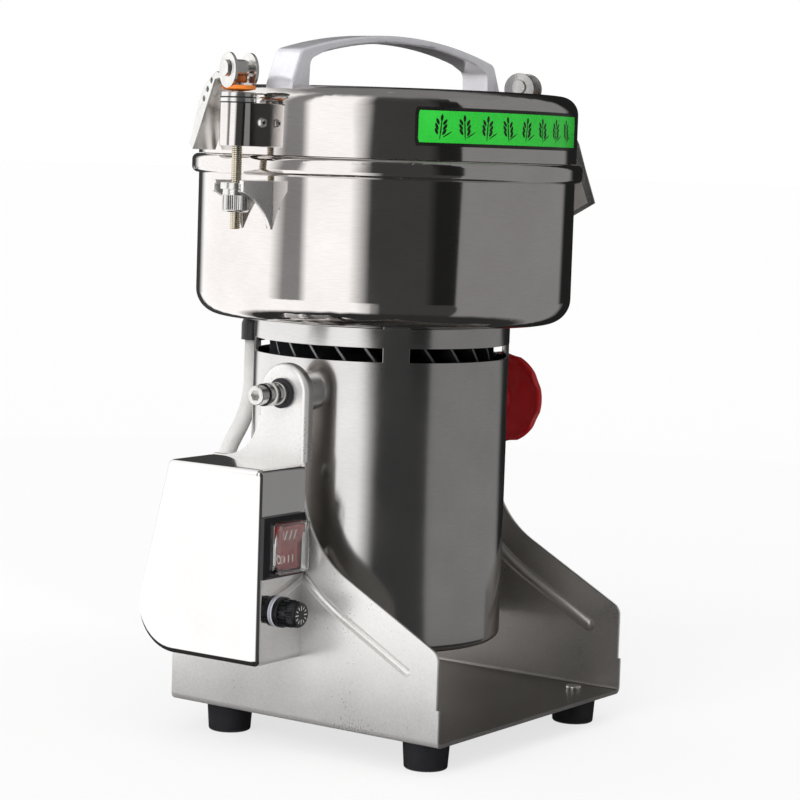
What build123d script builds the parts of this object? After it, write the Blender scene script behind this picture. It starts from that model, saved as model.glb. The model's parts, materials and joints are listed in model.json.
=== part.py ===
"""Electric grain mill of the swing type: a stainless grinding bowl on a motor tube, hung in a sheet stand.

Lengths are millimetres.  +Z is up, Z = 0 is the table, and the origin lies under the bowl's axis.
The front, with the switch, is -Y.  The control box hangs on the left plate (-X) and the lock knob
on the right plate (+X).  The head tips forward about the two pivot bolts, whose axis lies along X.
"""

from build123d import *
from math import asin, cos, radians, sin, tan
import os

os.makedirs("parts", exist_ok=True)

# --- driving dimensions ------------------------------------------------------------------------
running_gap = 0.05  # radial clearance of a pin or shaft that turns in its hole
body_gap = 0.3  # clearance between pieces that move past each other

# stand: one sheet bent into a channel, open at the front and the rear
sheet = 2.0
bend_radius = 1.5
stand_width = 177.4
stand_front = -102.8
stand_rear = 64.7
foot_height = 15.0
relief_height = 19.0  # height of the flange below the bend-relief step
relief_step = 1.4
slope_rise = 46.5  # from the floor's underside to the foot of the sloped edge
slope_angle = 28.4
front_corner_radius = 6.5
front_sweep_radius = 50.0
shoulder_height = 131.8
shoulder_rear = 47.0
shoulder_radius = 9.0
rear_edge_height = 61.0
rear_edge_radius = 20.0
rear_sweep_radius = 22.0
ear_radius = 15.0
ear_lip_depth = 5.7
ear_lip_foot = 147.0
ear_edge_radius = 3.0
ear_inset = 5.0  # overlap of the plate behind the ear's rounded rear edge

# tilt axis
pivot_y = -2.6
pivot_z = 181.0
pivot_bolt_radius = 3.0
pivot_socket_radius = 4.9
pivot_socket_height = 5.8
pivot_hex_radius = 2.9
pivot_hex_depth = 3.0
pivot_spacer_radius = 5.6
pivot_spacer_length = 14.5
pivot_button_height = 3.2
pivot_washer_radius = 6.2
pivot_washer_thickness = 1.5
boss_radius = 10.0

# pressed rib of each side plate
rib_radius = 4.3
rib_wall = 1.7
rib_front = -83.0
rib_front_height = 50.5
rib_knee = -42.0
rib_slope = 29.0
rib_rear = -14.5
rib_rear_height = 95.0

# feet
foot_bottom_radius = 10.9
foot_taper = 4.0
foot_inset_x = 18.0
foot_inset_front = 18.3
foot_inset_rear = 25.0
foot_screw_radius = 2.0
foot_screw_head_radius = 4.2
foot_screw_head_height = 2.4
foot_screw_length = 12.0

# control box on the left plate
box_depth = 35.8
box_wall = 1.5
box_front = -18.5
box_bottom = 48.3
box_top = 146.4
box_rear_top = 41.2
box_rear_low = 65.7
box_corner_radius = 3.5
box_sweep_radius = 23.2
box_edge_radius = 3.0
box_tab = 9.0
box_screw_radius = 2.0
box_screw_head_radius = 3.6
box_screw_head_height = 2.0
box_screw_length = 8.0

# rocker switch
switch_offset = 18.9  # of the switch's middle from the plate's outer face
switch_z = 107.5
bezel_width = 33.0
bezel_height = 30.6
bezel_depth = 4.4
bezel_chamfer = 2.2
switch_body_width = 27.0
switch_body_height = 26.6
switch_body_depth = 21.0
rocker_width = 20.6
rocker_radius = 11.8
rocker_axis_depth = 3.0  # of the rocker's axis behind the pressed half of its face
rocker_recess = 0.5  # of the pressed half behind the bezel's face
rocker_angle = 16.0
trunnion_radius = 1.6
trunnion_length = 1.5

# fuse holder
fuse_z = 74.5
fuse_washer_radius = 7.9
fuse_washer_thickness = 1.2
fuse_flange_radius = 7.7
fuse_flange_thickness = 3.0
fuse_barrel_radius = 5.9
fuse_barrel_length = 30.0
fuse_bore_radius = 4.2
fuse_bore_depth = 24.0
fuse_cap_radius = 6.2
fuse_cap_length = 9.5
fuse_grip_radius = 6.9
fuse_grip_length = 4.2
fuse_grip_count = 18
fuse_plug_length = 10.0

# lock knob on the right plate
lock_y = -3.6
lock_z = 166.7
lock_screw_radius = 4.0
lock_nut_radius = 6.9
lock_nut_thickness = 5.0
lock_disc_radius = 19.5
lock_disc_thickness = 4.0
knob_radius = 26.0
knob_hub_radius = 9.0
knob_stand_off = 4.3  # from the nut to the knob's hub
knob_hub_length = 10.0
knob_flare_length = 4.5
knob_rim_length = 4.5
knob_dome_height = 4.5
knob_lobe_count = 7
knob_lobe_cutter = 30.0
knob_lobe_depth = 1.2

# motor tube
tube_radius = 67.6
tube_wall = 1.6
tube_bottom = 48.0
tube_foot_radius = 4.0
tube_opening_radius = 54.0
vent_bottom = 197.4
vent_height = 7.0
collar_height = 10.0
post_width = 13.7
post_count = 4
post_azimuth = -48.5  # of the front left post, from -Y towards +X

# bowl
bowl_radius = 98.8
bowl_wall = 2.0
bowl_bottom = 216.0
bowl_corner_radius = 13.0
bowl_rim = 299.3
bowl_hole_radius = 9.0
bead_proud = 3.7  # of the bowl's wall
bead_height = 9.8
bead_round = 3.2

# lid
lid_proud = 0.3  # of the bowl's wall
lid_wall = 1.5
lid_shoulder = 334.3
lid_dome = 1.3
lid_corner_radius = 9.5
gasket_wall = 3.0
gasket_grip = 6.0
gasket_drop = 7.5

# carrying handle, a cast arch along X
handle_inset = 3.7  # of the feet, from the lid's wall
handle_foot_length = 13.6
handle_lean = 7.6  # of the uprights, inwards
handle_knee_z = 352.3
handle_crown_z = 363.0
handle_under_z = 359.0
handle_under_inset = 8.8  # of the crown's flat end, from the foot
handle_under_knee_z = 350.6
handle_width = 16.4
handle_edge_radius = 1.4
handle_screw_inset = 7.4  # from the foot's outer edge
handle_screw_radius = 2.4
handle_screw_head_radius = 4.2
handle_screw_head_height = 2.2
handle_screw_length = 10.0

# lid latches, one on the left and one on the right, turned alike about the bowl's axis
latch_reach = 10.5  # from the bead to the rod's axis
latch_angles = {"left": 174.0, "right": -6.0}  # from +X towards +Y
yoke_radius = 8.8
yoke_wall = 1.5
yoke_bottom = 303.4
yoke_top = 324.7
lug_bottom = 306.5
lug_top = 321.5
lug_reach = 8.6
rivet_radius = 1.5
rivet_head_radius = 2.6
rivet_head_height = 1.3
rivet_inset = 6.0  # of the rivet, outwards from the lid's wall
rivet_z = 315.2
seat_washer_radii = (8.9, 8.5)
seat_washer_heights = (2.4, 2.7)
seat_washer_bore = 3.9
cup_radius = 8.4
cup_height = 3.0
cup_dome = 30.0
cup_trough_radius = 10.8
cup_swing_z = 332.0
rod_radius = 2.4
rod_end = 262.6
cam_axis_z = 341.3
cam_radius = 8.8
cam_offset = 1.0
cam_half_width = 6.5
cam_plate = 1.5
cam_pin_radius = 2.2
cam_pin_head_radius = 4.3
cam_pin_head_height = 1.4
eye_half_width = 3.6
eye_radius = 4.4
lever_twist = {"left": -18.0, "right": 17.0}  # of the lever's plates about the rod
lever_hang = {"left": 42.0, "right": 31.0}  # from straight down
lever_length = {"left": 54.0, "right": 76.0}  # from the pin to the tip
lever_tip = {"left": 0.0, "right": -11.0}  # across the lever, at its lower corner
lever_web = 1.5
lever_front = ((0.24, 6.4), (0.44, 4.6), (0.8, 1.4))  # share of its length, and across the lever
lever_back = ((1.0, 4.6), (0.76, 8.4), (0.56, 12.0), (0.39, 12.6), (0.17, 8.0))
lever_holes = ((0.29, 8.6), (0.4, 8.8), (0.51, 8.4))
lever_hole_radius = 1.5
nut_flange_radius = 7.9
nut_flange_thickness = 3.3
nut_radius = 6.6
nut_top = 285.5
nut_bottom = 271.0

# bowl brackets that the latch nuts draw up to
bracket_top = 286.7
bracket_sheet = 2.0
bracket_half_width = 11.0
bracket_reach = 6.0  # beyond the rod's axis
bracket_lip = 3.5
bracket_drop = 24.0
bracket_hollow = (-7.5, 13.8)  # point on the gusset's hollow edge: from the rod's axis, and down
bracket_foot_gap = 0.2  # from the gusset's foot to the bowl's wall
weld_overlap = 6.1  # of welded sheet into the wall that it is cut back to

# shaft, bearings and motor
shaft_radius = 6.0
shaft_bottom = 55.0
blade_shaft_radius = 5.0
bearing_radius = 16.0
bearing_height = 10.0
bearing_hub_radius = 20.0
upper_bracket_thickness = 4.0
lower_bracket_bottom = 64.0
lower_bracket_thickness = 4.0
spoke_width = 16.0
fan_radius = 59.5
fan_hub_radius = 22.0
fan_bottom = 194.0
fan_plate = 1.4
fan_top = 205.2
fan_blade_count = 24
fan_blade_sheet = 1.2
fan_blade_pitch = 38.0
stator_flat = 52.0
stator_bore = 36.5
stator_bottom = 100.0
stator_height = 60.0
coil_outer = 52.0
coil_rise = 11.0
armature_radius = 35.9
armature_height = 56.0
slot_count = 12
slot_radius = 4.0
slot_mouth = 2.4
winding_radius = 30.0
commutator_radius = 14.0
commutator_bottom = 73.0
commutator_height = 18.0
brush_width = 8.0
brush_height = 10.0
brush_length = 18.0
brush_block = 14.0
brush_block_inner = 18.0
brush_block_outer = 50.0
seal_radius = 13.0
seal_height = 6.0
bowl_screw_circle = 42.0
bowl_screw_radius = 2.5
bowl_screw_head_radius = 4.6
bowl_screw_head_height = 2.2
bowl_screw_length = 11.0
bowl_boss_radius = 8.0
cover_screw_circle = 60.0
cover_screw_radius = 1.6
cover_screw_head_radius = 3.2
cover_screw_head_height = 1.8
cover_radius = 63.4
cover_sheet = 1.6
cover_slot_circle = 40.0
cover_slot_count = 12
cover_slot_length = 18.0
cover_slot_width = 5.0

# blades
blade_sheet = 2.5
blade_width = 22.0
blade_spans = {"lower_blade": 172.0, "cross_blade": 150.0, "upper_blade": 128.0}
blade_turns = {"lower_blade": 0.0, "cross_blade": 90.0, "upper_blade": 45.0}
blade_tip_rises = {"lower_blade": 9.0, "cross_blade": 0.0, "upper_blade": 7.0}
blade_tip_length = 22.0
blade_bevel = 8.0
spacer_radius = 9.0
spacer_height = 7.5
blade_nut_radius = 10.0
blade_nut_height = 9.0
shaft_tip = 4.0

# motor lead from the tube's rear to the control box
lead_radius = 4.4
lead_bend = 27.0
gland_radius = 6.4
gland_height = 13.0
gland_top = 213.0
grommet_radius = 7.5
grommet_flange = 1.5
cord_gland_y = 22.0
cord_gland_z = 66.0
cord_gland_radius = 8.0
cord_gland_length = 14.0

# --- derived places ----------------------------------------------------------------------------
plate_x = stand_width / 2
inner_x = plate_x - sheet
floor_top = foot_height + sheet
ear_front = pivot_y - ear_radius
ear_rear = pivot_y + ear_radius
shoulder_z = foot_height + shoulder_height
rear_edge_z = foot_height + rear_edge_height
ear_sweep_top = shoulder_z + rear_sweep_radius
slope = tan(radians(slope_angle))
upright_front = stand_front + relief_step
slope_foot_z = foot_height + slope_rise
slope_top_z = slope_foot_z + slope * (ear_front - upright_front)
box_x = plate_x + box_depth
switch_x = -(plate_x + switch_offset)
rocker_y = box_front - bezel_depth + rocker_recess + rocker_axis_depth
knob_hub_x = plate_x + lock_nut_thickness + knob_stand_off
knob_neck_x = knob_hub_x + knob_hub_length
knob_rim_start_x = knob_neck_x + knob_flare_length
knob_rim_end_x = knob_rim_start_x + knob_rim_length
knob_face_x = knob_rim_end_x + knob_dome_height
tube_inner = tube_radius - tube_wall
vent_top = vent_bottom + vent_height
collar_top = vent_top + collar_height
bowl_inner = bowl_radius - bowl_wall
bowl_floor = bowl_bottom + bowl_wall
bead_radius = bowl_radius + bead_proud
lid_radius = bowl_radius + lid_proud
lid_bottom = bowl_rim + body_gap
lid_inner = lid_radius - lid_wall
handle_foot_outer = lid_radius - handle_inset
handle_foot_inner = handle_foot_outer - handle_foot_length
handle_knee_outer = handle_foot_outer - handle_lean
handle_under_knee_x = handle_foot_inner - handle_under_inset
handle_screw_x = handle_foot_outer - handle_screw_inset
latch_circle = bead_radius + latch_reach
rod_to_bowl = latch_circle - bowl_radius
rod_to_lid = latch_circle - lid_radius
boss_face = inner_x - body_gap
lock_disc_x = plate_x - ear_lip_depth - 2 * body_gap
bolt_seat = plate_x + body_gap
blade_seat = bowl_floor + seal_height + 2 * body_gap
shaft_top = blade_seat + 3 * blade_sheet + 2 * spacer_height + blade_nut_height + shaft_tip
cup_bottom = yoke_top + sum(seat_washer_heights) + body_gap
cam_centre_z = cam_axis_z - cam_offset
cam_face = cam_half_width - cam_plate
trough_bottom = cam_centre_z - cam_radius - body_gap
bracket_notch = nut_flange_radius + body_gap


def nearest(vertices, x, y):
    """The corner of a sketch that lies closest to a point of its plane."""
    return vertices.sort_by(lambda corner: (corner.X - x) ** 2 + (corner.Y - y) ** 2)[0]


def rod_place(side, height):
    """A point on the axis of a latch rod."""
    angle = radians(latch_angles[side])
    return (latch_circle * cos(angle), latch_circle * sin(angle), height)


def level_plane(side, height):
    """Level plane on a latch rod's axis, with x pointing out from the bowl."""
    angle = radians(latch_angles[side])
    return Plane(origin=rod_place(side, height), x_dir=(cos(angle), sin(angle), 0), z_dir=(0, 0, 1))


def radial_plane(side):
    """Upright plane through a latch rod and the bowl's axis: x points out from the bowl, y up."""
    angle = radians(latch_angles[side])
    outwards = (cos(angle), sin(angle), 0)
    return Plane(origin=rod_place(side, 0), x_dir=outwards, z_dir=(sin(angle), -cos(angle), 0))


def lever_plane(side):
    """Upright plane of a lever: x points the way the lever hangs, y up and z back towards the bowl."""
    angle = radians(latch_angles[side] + lever_twist[side])
    hanging = (sin(angle), -cos(angle), 0)
    return Plane(origin=rod_place(side, 0), x_dir=hanging, z_dir=(-cos(angle), -sin(angle), 0))


def dome_middle(radius, rise):
    """Halfway point of a shallow dome's section, from its rim to its crown, measured from the crown."""
    sphere = (radius**2 + rise**2) / (2 * rise)
    half = asin(radius / sphere) / 2
    return sphere * sin(half), sphere * (cos(half) - 1)


def screw(head_radius, head_height, shank_radius, shank_length):
    """A pan-head screw that points down, with the underside of its head at the origin."""
    with BuildPart() as piece:
        with BuildSketch():
            Circle(head_radius)
        extrude(amount=head_height)
        fillet(piece.edges().sort_by(Axis.Z)[-1], head_height * 0.45)
        with BuildSketch():
            Circle(shank_radius)
        extrude(amount=-shank_length)
    return piece.part


def save(piece, name):
    """Label a finished piece and write it to its own file."""
    piece.label = name
    export_step(piece, f"parts/{name}.step")


# --- stand: base channel -----------------------------------------------------------------------
outer_plane = Plane.YZ.offset(-plate_x)
foot_x = plate_x - foot_inset_x
foot_places = [
    (x, y) for x in (-foot_x, foot_x) for y in (stand_front + foot_inset_front, stand_rear - foot_inset_rear)
]


def rib_bar(radius):
    """A bar with ball ends on the left plate's outer face: a straight run that curves up at the rear."""
    knee_height = rib_front_height + tan(radians(rib_slope)) * (rib_knee - rib_front)
    with BuildPart() as bar:
        with BuildLine(outer_plane) as path:
            run = Line((rib_front, rib_front_height), (rib_knee, knee_height))
            TangentArc(run @ 1, (rib_rear, rib_rear_height), tangent=run % 1)
        with BuildSketch(Plane(origin=path.line @ 0, z_dir=path.line % 0)):
            Circle(radius)
        sweep(path=path.line)
        with Locations(path.line @ 0, path.line @ 1):
            Sphere(radius)
    return bar.part


with BuildPart() as ear:
    # shallow pan: the upper end of the left plate with its edge turned in
    with BuildSketch(outer_plane):
        with Locations((pivot_y, pivot_z)):
            Circle(ear_radius)
        with Locations((pivot_y, (pivot_z + ear_lip_foot) / 2)):
            Rectangle(2 * ear_radius, pivot_z - ear_lip_foot)
    extrude(amount=ear_lip_depth)
    rim = ear.faces().sort_by(Axis.X)[0].edges().sort_by(Axis.Z)[1:]
    fillet(rim, ear_edge_radius)
    with BuildSketch(outer_plane.offset(sheet)):
        with Locations((pivot_y, pivot_z)):
            Circle(ear_radius - sheet)
        with Locations((pivot_y, (pivot_z + ear_lip_foot) / 2)):
            Rectangle(2 * (ear_radius - sheet), pivot_z - ear_lip_foot)
        with Locations((ear_rear, (ear_sweep_top + ear_lip_foot) / 2)):
            Rectangle(2 * ear_radius, ear_sweep_top - ear_lip_foot)
    extrude(amount=ear_lip_depth, mode=Mode.SUBTRACT)

with BuildPart() as base_channel:
    # left half of the bent sheet: floor and plate, drawn from the rear to the front
    with BuildSketch(Plane.XZ.offset(-stand_rear)) as section:
        with BuildLine():
            Polyline(
                (0, foot_height),
                (-plate_x, foot_height),
                (-plate_x, ear_sweep_top),
                (-inner_x, ear_sweep_top),
                (-inner_x, floor_top),
                (0, floor_top),
                close=True,
            )
        make_face()
        fillet(nearest(section.vertices(), -plate_x, foot_height), bend_radius + sheet)
        fillet(nearest(section.vertices(), -inner_x, floor_top), bend_radius)
    extrude(amount=stand_rear - stand_front)
    # side outline: relief step, sloped front, long sweeps up to the ear and a slanted rear edge
    with BuildSketch(Plane.YZ) as side:
        with BuildLine():
            Polyline(
                (ear_front, ear_lip_foot),
                (ear_front, slope_top_z),
                (upright_front, slope_foot_z),
                (upright_front, foot_height + relief_height),
                (stand_front, foot_height + relief_height),
                (stand_front, foot_height),
                (stand_rear, foot_height),
                (stand_rear, rear_edge_z),
                (shoulder_rear, shoulder_z),
                (ear_rear, shoulder_z),
                (ear_rear, ear_sweep_top),
                (ear_rear - ear_inset, ear_sweep_top),
                (ear_rear - ear_inset, ear_lip_foot),
                close=True,
            )
        make_face()
        fillet(nearest(side.vertices(), ear_front, slope_top_z), front_sweep_radius)
        fillet(nearest(side.vertices(), upright_front, slope_foot_z), front_corner_radius)
        fillet(nearest(side.vertices(), stand_rear, rear_edge_z), rear_edge_radius)
        fillet(nearest(side.vertices(), shoulder_rear, shoulder_z), shoulder_radius)
        fillet(nearest(side.vertices(), ear_rear, shoulder_z), rear_sweep_radius - 0.01)
    extrude(amount=-plate_x, mode=Mode.INTERSECT)
    add(ear.part)
    # diagonal rib pressed inwards: a ridge inside and its groove outside
    add(rib_bar(rib_radius))
    with Locations((-plate_x, (rib_front + rib_rear) / 2, (rib_front_height + rib_rear_height) / 2)):
        Box(
            2 * rib_radius,
            rib_rear - rib_front + 4 * rib_radius,
            rib_rear_height - rib_front_height + 4 * rib_radius,
            align=(Align.MAX, Align.CENTER, Align.CENTER),
            mode=Mode.SUBTRACT,
        )
    add(rib_bar(rib_radius - rib_wall), mode=Mode.SUBTRACT)
    mirror(about=Plane.YZ)
    with BuildSketch(Plane.XY.offset(foot_height)):
        with Locations(*foot_places):
            Circle(foot_screw_radius)
    extrude(amount=sheet, mode=Mode.SUBTRACT)
    # pivot holes in both plates, the lock screw's hole in the right one
    with BuildSketch(Plane.YZ.offset(-plate_x - 1)):
        with Locations((pivot_y, pivot_z)):
            Circle(pivot_bolt_radius + running_gap)
    extrude(amount=stand_width + 2, mode=Mode.SUBTRACT)
    with BuildSketch(Plane.YZ.offset(inner_x - 1)):
        with Locations((lock_y, lock_z)):
            Circle(lock_screw_radius + running_gap)
    extrude(amount=sheet + 2, mode=Mode.SUBTRACT)

# --- stand: feet -------------------------------------------------------------------------------
with BuildPart() as rubber_feet:
    with BuildSketch() as bottoms:
        with Locations(*foot_places):
            Circle(foot_bottom_radius)
    extrude(amount=foot_height, taper=-foot_taper)
    rims = rubber_feet.edges().group_by(Axis.Z)[0]
    fillet(rims, 1.2)
    with BuildSketch(Plane.XY.offset(foot_height)):
        with Locations(*foot_places):
            Circle(foot_screw_radius)
    extrude(amount=-(foot_screw_length - sheet), mode=Mode.SUBTRACT)

foot_screw = screw(foot_screw_head_radius, foot_screw_head_height, foot_screw_radius, foot_screw_length)
with BuildPart() as foot_screws:
    with Locations(*[(x, y, floor_top) for x, y in foot_places]):
        add(foot_screw)

# --- stand: control box ------------------------------------------------------------------------
def box_outline(inset):
    """Side outline of the control box, moved inwards by an inset."""
    with BuildSketch() as outline:
        with BuildLine():
            Polyline(
                (box_front, box_bottom),
                (box_front, box_top),
                (box_rear_top, box_top),
                (box_rear_low, box_bottom),
                close=True,
            )
        make_face()
        fillet(nearest(outline.vertices(), box_rear_low, box_bottom), box_sweep_radius)
        fillet(nearest(outline.vertices(), box_rear_top, box_top), box_corner_radius)
        fillet(nearest(outline.vertices(), box_front, box_top), box_corner_radius)
        fillet(nearest(outline.vertices(), box_front, box_bottom), box_corner_radius)
        offset(amount=-inset)
    return outline.sketch


box_tab_places = [
    (box_front + 8, box_top - 8),
    (box_rear_top - 6, box_top - 8),
    (box_front + 8, box_bottom + 8),
]

with BuildPart() as control_box:
    with BuildSketch(Plane.YZ.offset(-plate_x)):
        add(box_outline(0))
    extrude(amount=-box_depth)
    fillet(control_box.faces().sort_by(Axis.X)[0].edges(), box_edge_radius)
    with BuildSketch(Plane.YZ.offset(-plate_x)):
        add(box_outline(box_wall))
    extrude(amount=-(box_depth - box_wall), mode=Mode.SUBTRACT)
    # tabs turned in against the plate, each with a screw hole
    with BuildSketch(Plane.YZ.offset(-plate_x)):
        with Locations(*box_tab_places):
            Rectangle(2 * box_tab, 2 * box_tab)
        add(box_outline(box_wall / 2), mode=Mode.INTERSECT)
        with Locations(*box_tab_places):
            Circle(box_screw_radius, mode=Mode.SUBTRACT)
    extrude(amount=-box_wall)
    # switch and fuse holder openings in the front wall
    with BuildSketch(Plane.XZ.offset(-box_front + 1)):
        with Locations((switch_x, switch_z)):
            Rectangle(switch_body_width, switch_body_height)
        with Locations((switch_x, fuse_z)):
            Circle(fuse_barrel_radius)
    extrude(amount=-(box_wall + 2), mode=Mode.SUBTRACT)

box_screw = screw(box_screw_head_radius, box_screw_head_height, box_screw_radius, box_screw_length)
with BuildPart() as box_screws:
    with Locations(*[Location((-inner_x, y, z), (0, 90, 0)) for y, z in box_tab_places]):
        add(box_screw)

# --- stand: rocker switch ----------------------------------------------------------------------
with BuildPart() as switch_housing:
    with BuildSketch(Plane.XZ.offset(-box_front)):
        with Locations((switch_x, switch_z)):
            Rectangle(bezel_width, bezel_height)
    extrude(amount=bezel_depth)
    chamfer(switch_housing.faces().sort_by(Axis.Y)[0].edges(), bezel_chamfer)
    with BuildSketch(Plane.XZ.offset(-box_front)):
        with Locations((switch_x, switch_z)):
            Rectangle(switch_body_width, switch_body_height)
    extrude(amount=-switch_body_depth)
    # well of the rocker: open to the front, round at the back
    with BuildSketch(Plane.YZ.offset(switch_x - rocker_width / 2 - body_gap)):
        with Locations((rocker_y, switch_z)):
            Circle(rocker_radius + body_gap)
        with Locations((rocker_y, switch_z)):
            Rectangle(4 * bezel_depth, 2 * (rocker_radius + body_gap), align=(Align.MAX, Align.CENTER))
    extrude(amount=rocker_width + 2 * body_gap, mode=Mode.SUBTRACT)
    with Locations(Location((switch_x, rocker_y, switch_z), (0, 90, 0))):
        Cylinder(
            trunnion_radius + running_gap,
            rocker_width + 2 * trunnion_length + 4 * body_gap,
            mode=Mode.SUBTRACT,
        )

with BuildPart() as rocker_button:
    # round body about the trunnions; the shallow V of its face is pressed in below and stands out above
    face_y = rocker_y - rocker_axis_depth
    with BuildSketch(Plane.YZ.offset(switch_x - rocker_width / 2)):
        with Locations((rocker_y, switch_z)):
            Circle(rocker_radius)
        with BuildLine():
            Polyline(
                (face_y, switch_z - 2 * rocker_radius),
                (face_y, switch_z),
                (face_y - 2 * rocker_radius * tan(radians(rocker_angle)), switch_z + 2 * rocker_radius),
                (face_y - 4 * rocker_radius, switch_z),
                close=True,
            )
        make_face(mode=Mode.SUBTRACT)
    extrude(amount=rocker_width)
    with Locations(Location((switch_x, rocker_y, switch_z), (0, 90, 0))):
        Cylinder(trunnion_radius, rocker_width + 2 * trunnion_length)

# --- stand: fuse holder ------------------------------------------------------------------------
fuse_plane = Plane(origin=(switch_x, box_front, fuse_z), z_dir=(0, -1, 0))
fuse_flange_plane = fuse_plane.offset(fuse_washer_thickness)
fuse_cap_plane = fuse_flange_plane.offset(fuse_flange_thickness + body_gap)

with BuildPart() as fuse_washer:
    with BuildSketch(fuse_plane):
        Circle(fuse_washer_radius)
        Circle(fuse_barrel_radius, mode=Mode.SUBTRACT)
    extrude(amount=fuse_washer_thickness)

with BuildPart() as fuse_holder:
    with BuildSketch(fuse_flange_plane):
        Circle(fuse_flange_radius)
    extrude(amount=fuse_flange_thickness)
    fillet(fuse_holder.edges().sort_by(Axis.Y)[0], 0.8)
    with BuildSketch(fuse_flange_plane):
        Circle(fuse_barrel_radius)
    extrude(amount=-fuse_barrel_length)
    with BuildSketch(fuse_cap_plane):
        Circle(fuse_bore_radius)
    extrude(amount=-fuse_bore_depth, mode=Mode.SUBTRACT)

with BuildPart() as fuse_cap:
    with BuildSketch(fuse_cap_plane):
        Circle(fuse_cap_radius)
        with PolarLocations(fuse_cap_radius, fuse_grip_count):
            Rectangle(2 * (fuse_grip_radius - fuse_cap_radius), 1.2)
    extrude(amount=fuse_grip_length)
    with BuildSketch(fuse_cap_plane):
        Circle(fuse_cap_radius)
    extrude(amount=fuse_cap_length)
    fillet(fuse_cap.faces().sort_by(Axis.Y)[0].edges(), 0.9)
    with BuildSketch(fuse_cap_plane):
        Circle(fuse_bore_radius - running_gap)
    extrude(amount=-fuse_plug_length)

# --- stand: glands of the near plate -----------------------------------------------------------
lead_end = (-plate_x - box_depth / 2, 40.0, 76.0)

with BuildPart() as plate_grommets:
    # rubber grommet of the motor lead: a neck in the plate and a flange on each face
    with BuildSketch(Plane.YZ.offset(-plate_x - grommet_flange), Plane.YZ.offset(-inner_x)):
        with Locations(lead_end[1:]):
            Circle(grommet_radius)
    extrude(amount=grommet_flange)
    with BuildSketch(Plane.YZ.offset(-plate_x)):
        with Locations(lead_end[1:]):
            Circle(grommet_radius - 2)
    extrude(amount=sheet)
    # cord gland of the mains cord: a nut and a dome on the inner face
    with BuildSketch(Plane.YZ.offset(-plate_x)):
        with Locations((cord_gland_y, cord_gland_z)):
            Circle(cord_gland_radius - 2)
    extrude(amount=sheet)
    with BuildSketch(Plane.YZ.offset(-inner_x)):
        with Locations((cord_gland_y, cord_gland_z)):
            RegularPolygon(cord_gland_radius + 1, 6)
    extrude(amount=cord_gland_length / 3)
    with BuildSketch(Plane.YZ.offset(-inner_x)):
        with Locations((cord_gland_y, cord_gland_z)):
            Circle(cord_gland_radius)
    extrude(amount=cord_gland_length)
    fillet(plate_grommets.edges().sort_by(Axis.X)[-1], 3.0)
    with BuildSketch(Plane.YZ.offset(-plate_x - grommet_flange)):
        with Locations((cord_gland_y, cord_gland_z)):
            Circle(lead_radius)
    extrude(amount=cord_gland_length + sheet + 2 * grommet_flange, mode=Mode.SUBTRACT)
    with BuildSketch(Plane.YZ.offset(-plate_x - grommet_flange)):
        with Locations(lead_end[1:]):
            Circle(lead_radius)
    extrude(amount=sheet + 2 * grommet_flange, mode=Mode.SUBTRACT)

with BuildPart() as plate_holes:
    # holes of the left plate behind the box: grommet, cord gland and box screws
    with BuildSketch(Plane.YZ.offset(-plate_x)):
        with Locations(lead_end[1:]):
            Circle(grommet_radius - 2)
        with Locations((cord_gland_y, cord_gland_z)):
            Circle(cord_gland_radius - 2)
        with Locations(*box_tab_places):
            Circle(box_screw_radius)
    extrude(amount=sheet)

# --- lock knob ---------------------------------------------------------------------------------
lock_plane = Plane(origin=(0, lock_y, lock_z), x_dir=(0, 1, 0), z_dir=(1, 0, 0))

with BuildPart() as lock_nut:
    with BuildSketch(lock_plane.offset(plate_x)):
        RegularPolygon(lock_nut_radius, 6)
        Circle(lock_screw_radius + running_gap, mode=Mode.SUBTRACT)
    extrude(amount=lock_nut_thickness)

with BuildPart() as lock_screw:
    with BuildSketch(lock_plane.offset(lock_disc_x + body_gap)):
        Circle(lock_screw_radius)
    extrude(amount=knob_neck_x - lock_disc_x - body_gap)
    chamfer(lock_screw.edges().sort_by(Axis.X)[0], 1.0)

with BuildPart() as lock_knob:
    # turned profile: hub, flared neck, rounded rim and a domed face
    with BuildSketch(Plane(origin=(0, lock_y, lock_z), x_dir=(1, 0, 0), z_dir=(0, -1, 0))) as profile:
        with BuildLine():
            Polyline(
                (knob_face_x, 0),
                (knob_hub_x, 0),
                (knob_hub_x, knob_hub_radius),
                (knob_neck_x, knob_hub_radius),
                (knob_rim_start_x, knob_radius - 4),
                (knob_rim_start_x, knob_radius),
                (knob_rim_end_x, knob_radius),
            )
            across, drop = dome_middle(knob_radius, knob_face_x - knob_rim_end_x)
            ThreePointArc((knob_rim_end_x, knob_radius), (knob_face_x + drop, across), (knob_face_x, 0))
        make_face()
        fillet(nearest(profile.vertices(), knob_neck_x, knob_hub_radius), 4.0)
        fillet(nearest(profile.vertices(), knob_rim_start_x, knob_radius), 1.8)
        fillet(nearest(profile.vertices(), knob_rim_end_x, knob_radius), 1.8)
    revolve(axis=Axis((0, lock_y, lock_z), (1, 0, 0)))
    with BuildSketch(lock_plane.offset(knob_neck_x)):
        with PolarLocations(knob_radius + knob_lobe_cutter - knob_lobe_depth, knob_lobe_count):
            Circle(knob_lobe_cutter)
    extrude(amount=knob_face_x - knob_neck_x, mode=Mode.SUBTRACT)
    with BuildSketch(lock_plane.offset(knob_hub_x)):
        Circle(lock_screw_radius)
    extrude(amount=knob_neck_x - knob_hub_x, mode=Mode.SUBTRACT)

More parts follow.
